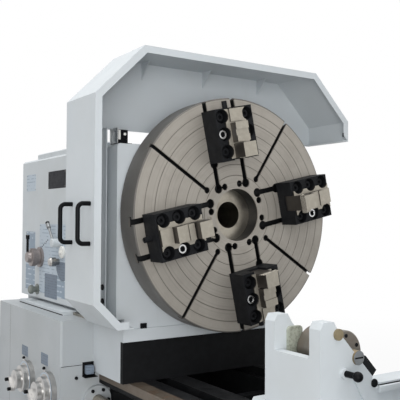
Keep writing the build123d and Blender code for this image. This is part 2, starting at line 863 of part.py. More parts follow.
# Bearing flanges, lead screw and feed rod along the front of the bed
bracket_thickness = 90.0
bracket_left = bed_right - 160.0
screw_start = box_right + 2
rod_places = [(screw_near, lead_screw_height), (screw_near, feed_rod_height)]
with BuildPart() as bearing_flanges:
    with BuildSketch(side_plane(box_right)):
        with Locations(rod_places[0]):
            Circle(flange_radius)
            Circle(lead_screw_radius + running_gap, mode=Mode.SUBTRACT)
            with PolarLocations(flange_radius - 18, 6):
                Circle(6, mode=Mode.SUBTRACT)
        with Locations(rod_places[1]):
            Circle(flange_radius * 0.6)
            Circle(feed_rod_radius + running_gap, mode=Mode.SUBTRACT)
    extrude(amount=flange_thickness)
bearing_flanges.part.label = "bearing_flanges"
export_step(bearing_flanges.part, "parts/bearing_flanges.step")

with BuildPart() as lead_screw:
    with BuildSketch(side_plane(screw_start)):
        with Locations(rod_places[0]):
            Circle(lead_screw_radius)
    extrude(amount=bracket_left + bracket_thickness - screw_start + 20)
lead_screw.part.label = "lead_screw"
export_step(lead_screw.part, "parts/lead_screw.step")

with BuildPart() as feed_rod:
    with BuildSketch(side_plane(screw_start)):
        with Locations(rod_places[1]):
            Circle(feed_rod_radius)
    extrude(amount=bracket_left + bracket_thickness - screw_start + 20)
feed_rod.part.label = "feed_rod"
export_step(feed_rod.part, "parts/feed_rod.step")

bracket_near = screw_near - 60.0
with BuildPart() as screw_bracket:
    with BuildSketch(side_plane(bracket_left)):
        with BuildLine():
            Polyline(
                (bracket_near, feed_rod_height - 60),
                (-bed_wall_half_width, feed_rod_height - 60),
                (-bed_wall_half_width, web_top),
                (-bed_half_width, web_top + overhang_rise),
                (bracket_near + 40, web_top + overhang_rise),
                (bracket_near, web_top),
                close=True,
            )
        make_face()
        for place, radius in zip(rod_places, (lead_screw_radius, feed_rod_radius)):
            with Locations(place):
                Circle(radius + running_gap, mode=Mode.SUBTRACT)
    extrude(amount=bracket_thickness)
screw_bracket.part.label = "screw_bracket"
export_step(screw_bracket.part, "parts/screw_bracket.step")

# Open roller steady: a foot across the ways, a frame of two plates, and a roller on each side
steady_length = steady_right - steady_left
with BuildPart() as steady_foot:
    with BuildSketch(Plane.XY.offset(way_height)):
        with Locations(((steady_left + steady_right) / 2, 0)):
            Rectangle(steady_length + 2 * foot_reach, 2 * (steady_half_width + foot_side_reach))
    extrude(amount=foot_top - way_height)
    chamfer(steady_foot.edges().filter_by(Axis.Z), 30)
steady_foot.part.label = "steady_foot"
export_step(steady_foot.part, "parts/steady_foot.step")

half_profile = [
    (steady_half_width, foot_top),
    (steady_half_width, lug_top - 24),
    (steady_half_width - 14, lug_top),
    (steady_half_width - 62, lug_top),
    (lug_inner, lug_top - lug_shoulder),
    (slope_bottom_inner, slope_bottom_height),
    (slope_bottom_inner, beam_top),
]
steady_outline = [(-y, z) for y, z in half_profile] + half_profile[::-1]
pocket_left = steady_left + plate_thickness
pocket_right = steady_right - plate_thickness
pocket_middle = (pocket_left + pocket_right) / 2
pocket_outer = steady_half_width - pocket_wall
pocket_inner = slope_bottom_inner - 20.0
notch_radius = 18.0
with BuildPart() as steady_frame:
    with BuildSketch(side_plane(steady_left)):
        with BuildLine():
            Polyline(*steady_outline, close=True)
        make_face()
    extrude(amount=steady_length)
    with BuildSketch(Plane.XY.offset(foot_top)):
        with Locations(((steady_left + pocket_right) / 2, 0)):
            Rectangle(pocket_right - steady_left, 2 * pocket_inner)
    extrude(amount=lug_top - foot_top, mode=Mode.SUBTRACT)
    for side in (-1, 1):
        with BuildSketch(Plane.XY.offset(notch_floor)):
            with Locations((pocket_middle, side * (steady_half_width + pocket_inner) / 2)):
                Rectangle(pocket_right - pocket_left, steady_half_width - pocket_inner)
        extrude(amount=lug_top - notch_floor, mode=Mode.SUBTRACT)
        with BuildSketch(Plane.XY.offset(pocket_floor)):
            with Locations((pocket_middle, side * (pocket_outer + pocket_inner) / 2)):
                Rectangle(pocket_right - pocket_left, pocket_outer - pocket_inner)
        extrude(amount=lug_top - pocket_floor, mode=Mode.SUBTRACT)
        with BuildSketch(side_plane(steady_left)):
            with Locations((side * roller_offset, roller_height)):
                Circle(axle_radius + running_gap)
        extrude(amount=steady_length, mode=Mode.SUBTRACT)
        with BuildSketch(side_plane(steady_left)):
            with Locations((side * (slope_bottom_inner - notch_radius), beam_top)):
                Circle(notch_radius)
        extrude(amount=steady_length, mode=Mode.SUBTRACT)
steady_frame.part.label = "steady_frame"
export_step(steady_frame.part, "parts/steady_frame.step")


def steady_roller(side):
    """A broad steel roller, bored for the axle that carries it between the two plates."""
    with BuildPart() as roller:
        with BuildSketch(side_plane(roller_left)):
            with Locations((side * roller_offset, roller_height)):
                Circle(roller_radius)
        extrude(amount=roller_right - roller_left)
        chamfer(roller.edges(), 4)
        with BuildSketch(side_plane(roller_left)):
            with Locations((side * roller_offset, roller_height)):
                Circle(axle_radius + running_gap)
        extrude(amount=roller_right - roller_left, mode=Mode.SUBTRACT)
    return roller


near_roller = steady_roller(-1)
near_roller.part.label = "near_roller"
export_step(near_roller.part, "parts/near_roller.step")

far_roller = steady_roller(1)
far_roller.part.label = "far_roller"
export_step(far_roller.part, "parts/far_roller.step")

# The rollers' axles, and the heads of the pins that hold the bearing blocks in the right plate
axle_overhang = 6.0
block_pin_offset = roller_offset + 95.0
block_pin_height = roller_height + 88.0
block_pin_radius = 20.0
block_pin_head = 8.0


def on_both_sides(offset, height):
    """The same place on the near and the far side of the spindle."""
    return [(-offset, height), (offset, height)]


with BuildPart() as roller_axles:
    with BuildSketch(side_plane(steady_left - axle_overhang)):
        with Locations(*on_both_sides(roller_offset, roller_height)):
            Circle(axle_radius)
    extrude(amount=steady_length + 2 * axle_overhang)
    with BuildSketch(side_plane(steady_right)):
        with Locations(*on_both_sides(block_pin_offset, block_pin_height)):
            Circle(block_pin_radius)
    extrude(amount=block_pin_head)
roller_axles.part.label = "roller_axles"
export_step(roller_axles.part, "parts/roller_axles.step")

# Cast bearing blocks beside the rollers
block_right = roller_left - 5.0
block_outer = roller_offset + 118.0
block_inner = roller_offset + 50.0
block_top = roller_height + 86.0
clamp_offset = roller_offset + 66.0
clamp_height = roller_height - 46.0
boss_radius = 19.0
boss_length = 12.0
stem_radius = 11.0
stem_length = 53.0
ball_radius = 18.0
with BuildPart() as bearing_blocks:
    with BuildSketch(side_plane(pocket_left)):
        with Locations(*on_both_sides((block_outer + block_inner) / 2, (block_top + pocket_floor) / 2)):
            RectangleRounded(block_outer - block_inner, block_top - pocket_floor, 14)
    extrude(amount=block_right - pocket_left)
bearing_blocks.part.label = "bearing_blocks"
export_step(bearing_blocks.part, "parts/bearing_blocks.step")

# Clamp bosses on the plate, clamp screws with ball knobs and the flat levers below them
with BuildPart() as steady_bosses:
    with BuildSketch(side_plane(steady_right)):
        with Locations(*on_both_sides(clamp_offset, clamp_height)):
            Circle(boss_radius)
    extrude(amount=boss_length)
steady_bosses.part.label = "steady_bosses"
export_step(steady_bosses.part, "parts/steady_bosses.step")

with BuildPart() as clamp_knobs:
    with BuildSketch(side_plane(steady_right + boss_length)):
        with Locations(*on_both_sides(clamp_offset, clamp_height)):
            Circle(stem_radius)
    extrude(amount=stem_length)
    for side, height in on_both_sides(clamp_offset, clamp_height):
        with Locations((steady_right + boss_length + stem_length, side, height)):
            Sphere(ball_radius)
clamp_knobs.part.label = "clamp_knobs"
export_step(clamp_knobs.part, "parts/clamp_knobs.step")

lever_top_offset = clamp_offset - 56.0
lever_top_height = clamp_height - 31.0
lever_low_offset = lever_top_offset - 61.0
lever_low_height = foot_top + 15.0
lever_half_width = 11.0
lever_thickness = 8.0
with BuildPart() as steady_levers:
    for side in (-1, 1):
        with BuildSketch(side_plane(steady_right)):
            with BuildLine():
                Polyline(
                    (side * (lever_top_offset + lever_half_width), lever_top_height),
                    (side * (lever_top_offset - lever_half_width), lever_top_height),
                    (side * (lever_low_offset - lever_half_width), lever_low_height),
                    (side * (lever_low_offset + lever_half_width), lever_low_height),
                    close=True,
                )
            make_face()
        extrude(amount=lever_thickness)
steady_levers.part.label = "steady_levers"
export_step(steady_levers.part, "parts/steady_levers.step")

# Black bars that lie along the sloping edges of the plate below the rollers
bar_thickness = 28.0
bar_length = 78.0
slope_rise = lug_top - lug_shoulder - slope_bottom_height
slope_run = Vector(lug_inner - slope_bottom_inner, slope_rise).normalized()
slope_out = Vector(-slope_run.Y, slope_run.X)
bar_foot = Vector(slope_bottom_inner, slope_bottom_height)
bar_corners = [
    bar_foot,
    bar_foot + slope_run * bar_length,
    bar_foot + slope_run * bar_length + slope_out * bar_thickness,
    bar_foot + slope_out * bar_thickness,
]
with BuildPart() as steady_bars:
    for side in (-1, 1):
        with BuildSketch(side_plane(pocket_right)):
            with BuildLine():
                Polyline(*[(side * corner.X, corner.Y) for corner in bar_corners], close=True)
            make_face()
        extrude(amount=plate_thickness)
steady_bars.part.label = "steady_bars"
export_step(steady_bars.part, "parts/steady_bars.step")

# Saddle, apron, cross slide and tool post of the carriage
saddle_top = way_height + saddle_height
saddle_half_width = bed_half_width + saddle_overhang
bridge_half = 210.0
saddle_gap = saddle_right - saddle_left - 2 * bridge_half
saddle_middle = (saddle_left + saddle_right) / 2
with BuildPart() as saddle:
    with BuildSketch(Plane.XY.offset(way_height)):
        with Locations((saddle_middle, 0)):
            Rectangle(saddle_right - saddle_left, 2 * saddle_half_width)
        with Locations((saddle_left, 0), (saddle_right, 0)):
            Rectangle(saddle_gap, 2 * (bed_half_width - outer_way_width), mode=Mode.SUBTRACT)
    extrude(amount=saddle_height)
saddle.part.label = "saddle"
export_step(saddle.part, "parts/saddle.step")

apron_bottom = 250.0
apron_near = -saddle_half_width
apron_inset = 40.0
apron_hole_margin = 6.0
with BuildPart() as apron:
    with BuildSketch(side_plane(saddle_left + apron_inset)):
        with BuildLine():
            Polyline(
                (apron_near, way_height),
                (apron_near, apron_bottom + 60),
                (apron_near + 50, apron_bottom),
                (-bed_wall_half_width - 12, apron_bottom),
                (-bed_wall_half_width - 12, web_top - 8),
                (-bed_half_width - 8, web_top + overhang_rise - 4),
                (-bed_half_width - 8, way_height),
                close=True,
            )
        make_face()
        for place, radius in zip(rod_places, (lead_screw_radius, feed_rod_radius)):
            with Locations(place):
                Circle(radius + apron_hole_margin, mode=Mode.SUBTRACT)
    extrude(amount=saddle_right - saddle_left - 2 * apron_inset)
apron.part.label = "apron"
export_step(apron.part, "parts/apron.step")

cross_slide_length = 1050.0
cross_slide_centre_y = -60.0
with BuildPart() as cross_slide:
    with BuildSketch(Plane.XY.offset(saddle_top)):
        with Locations((saddle_middle, cross_slide_centre_y)):
            Rectangle(2 * cross_slide_half, cross_slide_length)
    extrude(amount=cross_slide_height)
    chamfer(cross_slide.faces().sort_by(Axis.Z)[-1].edges(), 8)
cross_slide.part.label = "cross_slide"
export_step(cross_slide.part, "parts/cross_slide.step")

slide_top = saddle_top + cross_slide_height
post_centre_y = -430.0
rest_height = 260.0
rest_width = 280.0
rest_length = 340.0
with BuildPart() as top_slide:
    with BuildSketch(Plane.XY.offset(slide_top)):
        with Locations((saddle_middle, post_centre_y)):
            Rectangle(rest_width, rest_length)
    extrude(amount=rest_height)
    chamfer(top_slide.faces().sort_by(Axis.Z)[-1].edges(), 8)
top_slide.part.label = "top_slide"
export_step(top_slide.part, "parts/top_slide.step")

post_slot_height = 62.0
post_slot_depth = 52.0
post_slot_rise = 40.0
post_waist = 2 * (post_half - post_slot_depth)
post_bottom = slide_top + rest_height
with BuildPart() as tool_post:
    with BuildSketch(Plane.XY.offset(post_bottom)):
        with Locations((saddle_middle, post_centre_y)):
            Rectangle(2 * post_half, 2 * post_half)
    extrude(amount=post_height)
    with BuildSketch(Plane.XY.offset(post_bottom + post_slot_rise)):
        with Locations((saddle_middle, post_centre_y)):
            Rectangle(2 * post_half, 2 * post_half)
            Rectangle(post_waist, post_waist, mode=Mode.SUBTRACT)
    extrude(amount=post_slot_height, mode=Mode.SUBTRACT)
tool_post.part.label = "tool_post"
export_step(tool_post.part, "parts/tool_post.step")

# Hand wheel on the apron, ball crank on the cross slide and clamp handle on the tool post
spoke_count = 3
hand_wheel_radius = 130.0
hand_wheel_place = (saddle_left + 190.0, way_height - 175.0)
hand_wheel_reach = 46.0
hand_rim_radius = 12.0
hand_grip_length = 80.0
crank_reach = 95.0
crank_height = saddle_top + cross_slide_height / 2
post_top = post_bottom + post_height
post_lever_length = 190.0
wheel_x, wheel_z = hand_wheel_place
wheel_y = apron_near - hand_wheel_reach
cross_slide_near = cross_slide_centre_y - cross_slide_length / 2
with BuildPart() as carriage_handles:
    with Locations(Location((wheel_x, wheel_y, wheel_z), (90, 0, 0))):
        Torus(hand_wheel_radius, hand_rim_radius)
    for spoke in range(spoke_count):
        turn = radians(30 + 360 / spoke_count * spoke)
        spoke_direction = (cos(turn), 0, sin(turn))
        with BuildSketch(Plane(origin=(wheel_x, wheel_y, wheel_z), x_dir=(0, 1, 0), z_dir=spoke_direction)):
            Circle(9)
        extrude(amount=hand_wheel_radius)
    with BuildSketch(near_plane(wheel_x, apron_near, wheel_z)):
        Circle(34)
    extrude(amount=hand_wheel_reach + 20)
    with BuildSketch(near_plane(wheel_x, wheel_y, wheel_z + hand_wheel_radius)):
        Circle(hand_rim_radius - 2)
    extrude(amount=hand_grip_length)
    with BuildSketch(near_plane(saddle_middle, cross_slide_near, crank_height)):
        Circle(20)
    extrude(amount=120)
    crank_end = cross_slide_near - 105
    with BuildSketch(Plane(origin=(saddle_middle, crank_end, crank_height), z_dir=(0, 0, -1))):
        Circle(11)
    extrude(amount=crank_reach)
    with BuildSketch(near_plane(saddle_middle, crank_end, crank_height - crank_reach)):
        Circle(14)
    extrude(amount=80)
    with BuildSketch(Plane.XY.offset(post_top)):
        with Locations((saddle_middle, post_centre_y)):
            Circle(38)
    extrude(amount=56)
    lever_origin = (saddle_middle, post_centre_y, post_top + 34)
    with BuildSketch(Plane(origin=lever_origin, z_dir=(0.5, -0.6, 0.62))):
        Circle(10)
    extrude(amount=post_lever_length)
carriage_handles.part.label = "carriage_handles"
export_step(carriage_handles.part, "parts/carriage_handles.step")

# Tailstock: base across the ways, body with its quill, and the hand wheel
tail_base_top = way_height + tail_base_height
with BuildPart() as tailstock_base:
    with BuildSketch(Plane.XY.offset(way_height)):
        with Locations(((tail_left + tail_right) / 2, 0)):
            Rectangle(tail_right - tail_left, 2 * (tail_half_width + tail_base_reach))
    extrude(amount=tail_base_height)
    chamfer(tailstock_base.edges().filter_by(Axis.Z), 20)
tailstock_base.part.label = "tailstock_base"
export_step(tailstock_base.part, "parts/tailstock_base.step")

barrel_radius = 185.0
waist_depth = 60.0
with BuildPart() as tailstock_body:
    with BuildSketch(side_plane(tail_left)):
        with BuildLine():
            Polyline(
                (-tail_half_width, tail_base_top),
                (tail_half_width, tail_base_top),
                (barrel_radius, axis_height - waist_depth),
                (-barrel_radius, axis_height - waist_depth),
                close=True,
            )
        make_face()
        with Locations((0, axis_height)):
            Circle(barrel_radius)
        with Locations((0, axis_height - waist_depth / 2)):
            Rectangle(2 * barrel_radius, waist_depth)
        with Locations((0, axis_height)):
            Circle(quill_radius + running_gap, mode=Mode.SUBTRACT)
    extrude(amount=tail_right - tail_left)
tailstock_body.part.label = "tailstock_body"
export_step(tailstock_body.part, "parts/tailstock_body.step")

centre_length = 150.0
centre_point = 78.0
centre_radius = 45.0
shaft_radius = 30.0
shaft_length = 120.0
with BuildPart() as tailstock_quill:
    with BuildSketch(Plane.XZ):
        with BuildLine():
            Polyline(
                (tail_left - quill_reach - centre_length, axis_height),
                (tail_left - quill_reach - centre_length + centre_point, axis_height + centre_radius),
                (tail_left - quill_reach, axis_height + centre_radius),
                (tail_left - quill_reach, axis_height + quill_radius),
                (tail_right, axis_height + quill_radius),
                (tail_right, axis_height + shaft_radius),
                (tail_right + shaft_length, axis_height + shaft_radius),
                (tail_right + shaft_length, axis_height),
                close=True,
            )
        make_face()
    revolve(axis=Axis((0, 0, axis_height), (1, 0, 0)))
tailstock_quill.part.label = "tailstock_quill"
export_step(tailstock_quill.part, "parts/tailstock_quill.step")

wheel_plane_x = tail_right + 75.0
wheel_hub_radius = 52.0
wheel_hub_length = 50.0
spoke_start = 46.0
with BuildPart() as tailstock_wheel:
    with BuildSketch(Plane.XZ):
        with Locations((wheel_plane_x, axis_height + wheel_radius)):
            Circle(wheel_rim_radius)
    revolve(axis=Axis((0, 0, axis_height), (1, 0, 0)))
    with BuildSketch(side_plane(wheel_plane_x - wheel_hub_length / 2)):
        with Locations((0, axis_height)):
            Circle(wheel_hub_radius)
            Circle(shaft_radius, mode=Mode.SUBTRACT)
    extrude(amount=wheel_hub_length)
    for spoke in range(spoke_count):
        turn = radians(90 + 360 / spoke_count * spoke)
        spoke_origin = (wheel_plane_x, spoke_start * cos(turn), axis_height + spoke_start * sin(turn))
        with BuildSketch(Plane(origin=spoke_origin, x_dir=(1, 0, 0), z_dir=(0, cos(turn), sin(turn)))):
            Ellipse(10, 16)
        extrude(amount=wheel_radius - spoke_start)
tailstock_wheel.part.label = "tailstock_wheel"
export_step(tailstock_wheel.part, "parts/tailstock_wheel.step")
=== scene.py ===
from math import atan, atan2, cos, pi, radians, sin, tau

import bmesh
import bpy
from bpy.props import FloatProperty, FloatVectorProperty, IntProperty, PointerProperty
from mathutils import Matrix, Vector


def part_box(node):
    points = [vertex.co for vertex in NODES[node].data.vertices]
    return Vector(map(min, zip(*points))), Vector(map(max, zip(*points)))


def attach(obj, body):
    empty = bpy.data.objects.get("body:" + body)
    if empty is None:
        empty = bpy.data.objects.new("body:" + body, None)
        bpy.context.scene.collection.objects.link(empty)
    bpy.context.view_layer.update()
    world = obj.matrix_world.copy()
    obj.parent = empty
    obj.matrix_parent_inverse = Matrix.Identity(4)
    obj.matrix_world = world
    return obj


bl_info = {
    "name": "Faceplate lathe",
    "version": (1, 0, 0),
    "blender": (4, 5, 0),
    "location": "View3D > Sidebar > Lathe",
    "description": "Finishes and small parts of a heavy faceplate lathe",
    "category": "Object",
}

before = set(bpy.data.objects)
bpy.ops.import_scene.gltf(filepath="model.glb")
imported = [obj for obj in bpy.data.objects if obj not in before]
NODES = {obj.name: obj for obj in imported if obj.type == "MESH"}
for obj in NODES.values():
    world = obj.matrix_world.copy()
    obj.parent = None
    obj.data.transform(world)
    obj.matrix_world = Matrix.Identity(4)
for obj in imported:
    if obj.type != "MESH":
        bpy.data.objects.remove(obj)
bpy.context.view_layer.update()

# Metres. X runs along the spindle to the tailstock, Y to the rear, Z up; the floor is Z 0.
AXIS_HEIGHT = 1.48
FACE_TURN = radians(12.2)  # the first jaw's line, turned up from the rear
NEAR = Vector((0, -1, 0))
FAR = Vector((0, 1, 0))
UP = Vector((0, 0, 1))
RIGHT = Vector((1, 0, 0))
LEFT = Vector((-1, 0, 0))
BLEND = {"data_type": "RGBA"}
SHARP_ANGLE = radians(35)  # edges steeper than this stay sharp


def low(name):
    """Lowest corner of a node."""
    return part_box(name)[0]


def high(name):
    """Highest corner of a node."""
    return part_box(name)[1]


# Faces and boxes of the nodes that carry the small pieces.
HEAD_NEAR = low("headstock_housing").y
BOX_NEAR = low("gearbox_upper").y
BOX_RIGHT = high("gearbox_upper").x
BOX_TOP = high("gearbox_upper").z
STEADY_RIGHT = high("steady_frame").x
COVER_LOW, COVER_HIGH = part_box("headstock_top_cover")
END_LOW, END_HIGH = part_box("headstock_end_cover")
POST_LOW, POST_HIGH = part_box("tool_post")
TAIL_LOW, TAIL_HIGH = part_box("tailstock_base")
SADDLE_LOW, SADDLE_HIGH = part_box("saddle")

# Centres and sizes of round features, as the solids have them.
AXLE_RADIUS = 0.025
AXLE_SIDE, AXLE_HEIGHT = 0.391, 0.978  # half the distance between the roller axles, and their height
AXLE_END = 1.241
SCALE_X, SCALE_HEIGHT = -0.862, 1.197
DRUM_X, DRUM_HEIGHT = -1.241, 1.21
DIALS = (("left", -0.98), ("right", -0.642))  # the feed dials and their X
DIAL_HEIGHT = 0.52
FLANGE_X, FLANGE_Y, FLANGE_HEIGHT = -0.476, -0.583, 0.470  # the larger bearing flange's face
CROSS_X, CROSS_Y, CROSS_HEIGHT = 1.8, -0.585, 0.7625  # the near end of the cross slide's screw
JAW_BOLT_ROWS = (0.344, 0.434, 0.524)  # distances from the spindle axis
JAW_BOLT_SIDE = 0.080
# Each jaw's bright ring on one middle bolt is a painted highlight of the bolt head's chamfer.
HIGHLIGHT_RING_SIDES = (-1, 1, 1, -1)  # the side of each jaw whose middle bolt has the bright ring

# Where a finish changes on one node.
WAY_EDGE = (-0.492, -0.486)  # Y where the rubbed near edge of the ways ends
RIM_EDGE = (0.616, 0.618)  # radii where the faceplate's face ends
SLOT_DEPTHS = (-0.005, -0.009)  # X under the face where slots and holes turn dark

# The camera, solved from the straight edges of guard, headstock and bed.
PICTURE_PIXELS = 400.0
LENS_PIXELS = 670.8
SENSOR_MM = 36.0
CAMERA_PLACE = (2.89163, -2.13679, 1.4555)
CAMERA_YAW, CAMERA_PITCH, CAMERA_ROLL = radians(33.27), radians(1.64), radians(0.31)

# Name, place, the point it faces, width in metres and watts.
LAMPS = (
    ("soft lamp overhead", (0.5, -0.5, 10.0), (0.5, -0.5, 0.0), 12.0, 1150.0),
    ("soft lamp on the near side", (1.0, -6.0, 4.5), (-0.5, 0.0, 1.2), 4.0, 45.0),
    ("soft lamp into the guard", (5.6, -3.5, 1.4), (0.0, 0.0, 1.6), 4.0, 290.0),
)


def hex_colour(text):
    """sRGB hex to the linear values that a shader takes."""
    parts = [int(text[place : place + 2], 16) / 255 for place in (1, 3, 5)]
    linear = [part / 12.92 if part <= 0.04045 else ((part + 0.055) / 1.055) ** 2.4 for part in parts]
    return (*linear, 1.0)


def colour_property(name, text, what):
    """A colour that the user can change."""
    return FloatVectorProperty(
        name=name, description=what, subtype="COLOR", size=4, min=0, max=1, default=hex_colour(text)
    )


def length_property(name, metres, what):
    """A size that the user can change."""
    return FloatProperty(
        name=name, description=what, default=metres, min=0.0001, unit="LENGTH", subtype="DISTANCE"
    )


class LatheFinishes(bpy.types.PropertyGroup):
    enamel: colour_property("Enamel", "#C1C7CB", "Pale grey machine enamel on castings and sheets")
    enamel_dust: colour_property("Dust on the enamel", "#A7A8A2", "Dust and handling marks on the enamel")
    black: colour_property("Blackened steel", "#17181A", "Jaw bodies, panels and bars")
    turned: colour_property("Turned iron", "#9D9890", "Face of the faceplate")
    # The faceplate's stains; made darker still, it is the painted shade in the ring grooves.
    turned_line: colour_property("Ring grooves", "#6C675E", "Ring grooves of the faceplate")
    ground: colour_property("Ground steel", "#A8A296", "Jaw steps, screw and quill")
    # The flank colour is partly the jaws' blackened sides and partly painted shade.
    flank: colour_property("Jaw flanks", "#413D39", "Oiled sides of the jaws")
    worn: colour_property("Worn iron", "#63594E", "Ways and rollers")
    rust: colour_property("Rust", "#6E4A33", "Light rust on bare iron")
    cast: colour_property("Oily casting", "#A9AD9F", "Bearing blocks beside the rollers")
    chrome: colour_property("Chrome", "#A9A7A4", "Dials and knobs")
    panel: colour_property("Control plates", "#76818E", "Grey-blue plates behind the controls")
    floor: colour_property("Floor", "#A8A8A8", "Studio floor")


class LatheSizes(bpy.types.PropertyGroup):
    screw_radius: length_property("Screw head", 0.011, "Radius of a cover screw's head")
    plate_thickness: length_property("Plate thickness", 0.0008, "Thickness of the small plates")
    groove_pitch: length_property("Ring pitch", 0.059, "Distance between the faceplate's ring grooves")
    groove_width: length_property("Ring width", 0.003, "Width of one ring groove")
    first_groove: length_property("First ring", 0.212, "Radius of the innermost ring groove")
    thread_pitch: length_property("Lead screw pitch", 0.012, "Pitch of the lead screw's thread")
    knurl_count: IntProperty(
        name="Knurls", description="Ribs round the speed drum", default=64, min=12, max=160
    )


# Shapes. Each function returns a bmesh that stands on local Z 0 and is placed afterwards.


def stand(centre, outward, upward=UP):
    """The matrix of a place on a face: local Z leaves the face and local Y is near upward."""
    z = Vector(outward).normalized()
    x = Vector(upward).cross(z)
    if x.length < 1e-6:
        x = FAR.cross(z)
    x.normalize()
    turn = Matrix((x, z.cross(x), z)).transposed().to_4x4()
    return Matrix.Translation(Vector(centre)) @ turn


def spun(points, steps, closed=False):
    """A form turned about local Z from (radius, height) points."""
    form = bmesh.new()
    verts = [form.verts.new((radius, 0, height)) for radius, height in points]
    pairs = list(zip(verts, verts[1:]))
    if closed:
        pairs.append((verts[-1], verts[0]))
    edges = [form.edges.new(pair) for pair in pairs]
    bmesh.ops.spin(
        form, geom=verts + edges, axis=(0, 0, 1), cent=(0, 0, 0), angle=tau, steps=steps, use_merge=True
    )
    bmesh.ops.remove_doubles(form, verts=form.verts[:], dist=1e-6)
    bmesh.ops.recalc_face_normals(form, faces=form.faces[:])
    return form


def turned(profile, steps=24):
    """A solid turned form; its profile begins and ends on the axis."""
    return spun([(0, profile[0][1]), *profile, (0, profile[-1][1])], steps)


def stud(radius, height, edge=0.001, steps=24):
    """A round stud with a broken edge."""
    return turned([(radius, 0), (radius, height - edge), (radius - edge, height)], steps)


def ring(outer, inner, height, steps=32, edge=0.0005):
    """A flat ring with broken edges."""
    upper = height - edge
    profile = [(inner, 0), (outer, 0), (outer, upper)]
    profile += [(outer - edge, height), (inner + edge, height), (inner, upper)]
    return spun(profile, steps, closed=True)


def sharp_block(width, depth, height):
    """A block with sharp edges that stands on local Z 0."""
    form = bmesh.new()
    bmesh.ops.create_cube(form, size=1.0)
    bmesh.ops.scale(form, vec=(width, depth, height), verts=form.verts[:])
    bmesh.ops.translate(form, vec=(0, 0, height / 2), verts=form.verts[:])
    return form


def break_edges(form, edges, offset, segments=1):
    """Bevels some edges of a form."""
    bmesh.ops.bevel(
        form, geom=edges, offset=offset, segments=segments, profile=0.5, affect="EDGES", material=-1
    )


def block(width, depth, height, edge=0.001, segments=2):
    """A block with rounded edges that stands on local Z 0."""
    form = sharp_block(width, depth, height)
    break_edges(form, form.edges[:], edge, segments)
    return form


def slab(first, last, edge=0.001):
    """A block with rounded edges between two corners of the frame, and its place."""
    first, last = Vector(first), Vector(last)
    size = last - first
    middle = (first + last) / 2
    edge = min(edge, min(size) * 0.3)
    return block(*size, edge), Matrix.Translation((middle.x, middle.y, first.z))


def rounded_plate(width, depth, height, corner):
    """A thin plate with rounded corners and a broken upper edge."""
    form = sharp_block(width, depth, height)
    upright = [e for e in form.edges if abs(e.verts[0].co.z - e.verts[1].co.z) > height / 2]
    break_edges(form, upright, corner, 4)
    rim = [e for e in form.edges if min(v.co.z for v in e.verts) > height * 0.99]
    break_edges(form, rim, 0.0002)
    return form


def half_disc(radius, height):
    """The lower half of a thin disc, below local Y 0."""
    form = stud(radius, height, height * 0.3, 48)
    every = form.verts[:] + form.edges[:] + form.faces[:]
    cut = bmesh.ops.bisect_plane(
        form, geom=every, plane_co=(0, 0, 0), plane_no=(0, 1, 0), clear_outer=True
    )["geom_cut"]
    open_edges = [part for part in cut if isinstance(part, bmesh.types.BMEdge)]
    bmesh.ops.contextual_create(form, geom=open_edges)
    bmesh.ops.recalc_face_normals(form, faces=form.faces[:])
    return form


def nut(radius, height, sides=6):
    """A nut or a many-sided head with a broken upper edge."""
    form = bmesh.new()
    bmesh.ops.create_circle(form, cap_ends=True, segments=sides, radius=radius)
    raised = bmesh.ops.extrude_face_region(form, geom=form.faces[:])["geom"]
    top = [part for part in raised if isinstance(part, bmesh.types.BMVert)]
    bmesh.ops.translate(form, vec=(0, 0, height), verts=top)
    bmesh.ops.recalc_face_normals(form, faces=form.faces[:])
    rim = [e for e in form.edges if all(v.co.z > height - 1e-6 for v in e.verts)]
    break_edges(form, rim, 0.0006)
    return form


def socket_screw(radius, height):
    """A cap screw's head with a broken edge and a hexagon socket."""
    edge, socket = radius * 0.1, radius * 0.5
    points = [(0, height * 0.4), (socket, height * 0.4), (socket, height), (radius - edge, height)]
    form = spun([*points, (radius, height - edge), (radius, 0), (0, 0)], 24)
    # The round socket's points are drawn in to a hexagon.
    for vert in form.verts:
        reach = vert.co.to_2d().length
        if 0 < reach < socket * 1.2:
            angle = atan2(vert.co.y, vert.co.x)
            share = cos(pi / 6) / cos(angle % (pi / 3) - pi / 6)
            vert.co.x *= share
            vert.co.y *= share
    return form


def ball_knob(radius):
    """A ball knob on its collar."""
    neck = radius * 0.5
    profile = [(neck, 0), (neck, radius * 0.25)]
    start = atan(neck / radius)
    steps = 10
    for step in range(1, steps):
        angle = start + (pi - start) * step / steps
        profile.append((radius * sin(angle), radius * 1.15 - radius * cos(angle)))
    return turned(profile)


def lever_arm(start, end, radius, grip_radius, grip_length):
    """A straight round lever with a rounded grip, and its place."""
    start, end = Vector(start), Vector(end)
    length = (end - start).length
    foot = length - grip_length
    edge = grip_radius * 0.35
    profile = [(radius, 0), (radius, foot), (grip_radius * 0.8, foot), (grip_radius, foot + edge)]
    profile += [(grip_radius, length - edge), (grip_radius - edge, length)]
    return turned(profile), stand(start, end - start, RIGHT)


def gather(whole, form, place):
    """Adds a form to a bmesh at its place, and frees it."""
    form.transform(place)
    mesh = bpy.data.meshes.new("part")
    form.to_mesh(mesh)
    whole.from_mesh(mesh)
    bpy.data.meshes.remove(mesh)
    form.free()


def make_piece(name, forms, finish, body="machine"):
    """One object from forms and their places, with its finish, on a body."""
    whole = bmesh.new()
    for form, place in forms:
        gather(whole, form, place)
    mesh = bpy.data.meshes.new(name)
    whole.to_mesh(mesh)
    whole.free()
    mesh.polygons.foreach_set("use_smooth", [True] * len(mesh.polygons))
    mesh.set_sharp_from_angle(angle=SHARP_ANGLE)
    piece = bpy.data.objects.new(name, mesh)
    bpy.context.scene.collection.objects.link(piece)
    piece.data.materials.append(bpy.data.materials[finish])
    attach(piece, body)
    return piece


def paint(node_names, finish):
    """Gives nodes of the frame their finish."""
    for name in node_names:
        mesh = NODES[name].data
        mesh.materials.clear()
        mesh.materials.append(bpy.data.materials[finish])


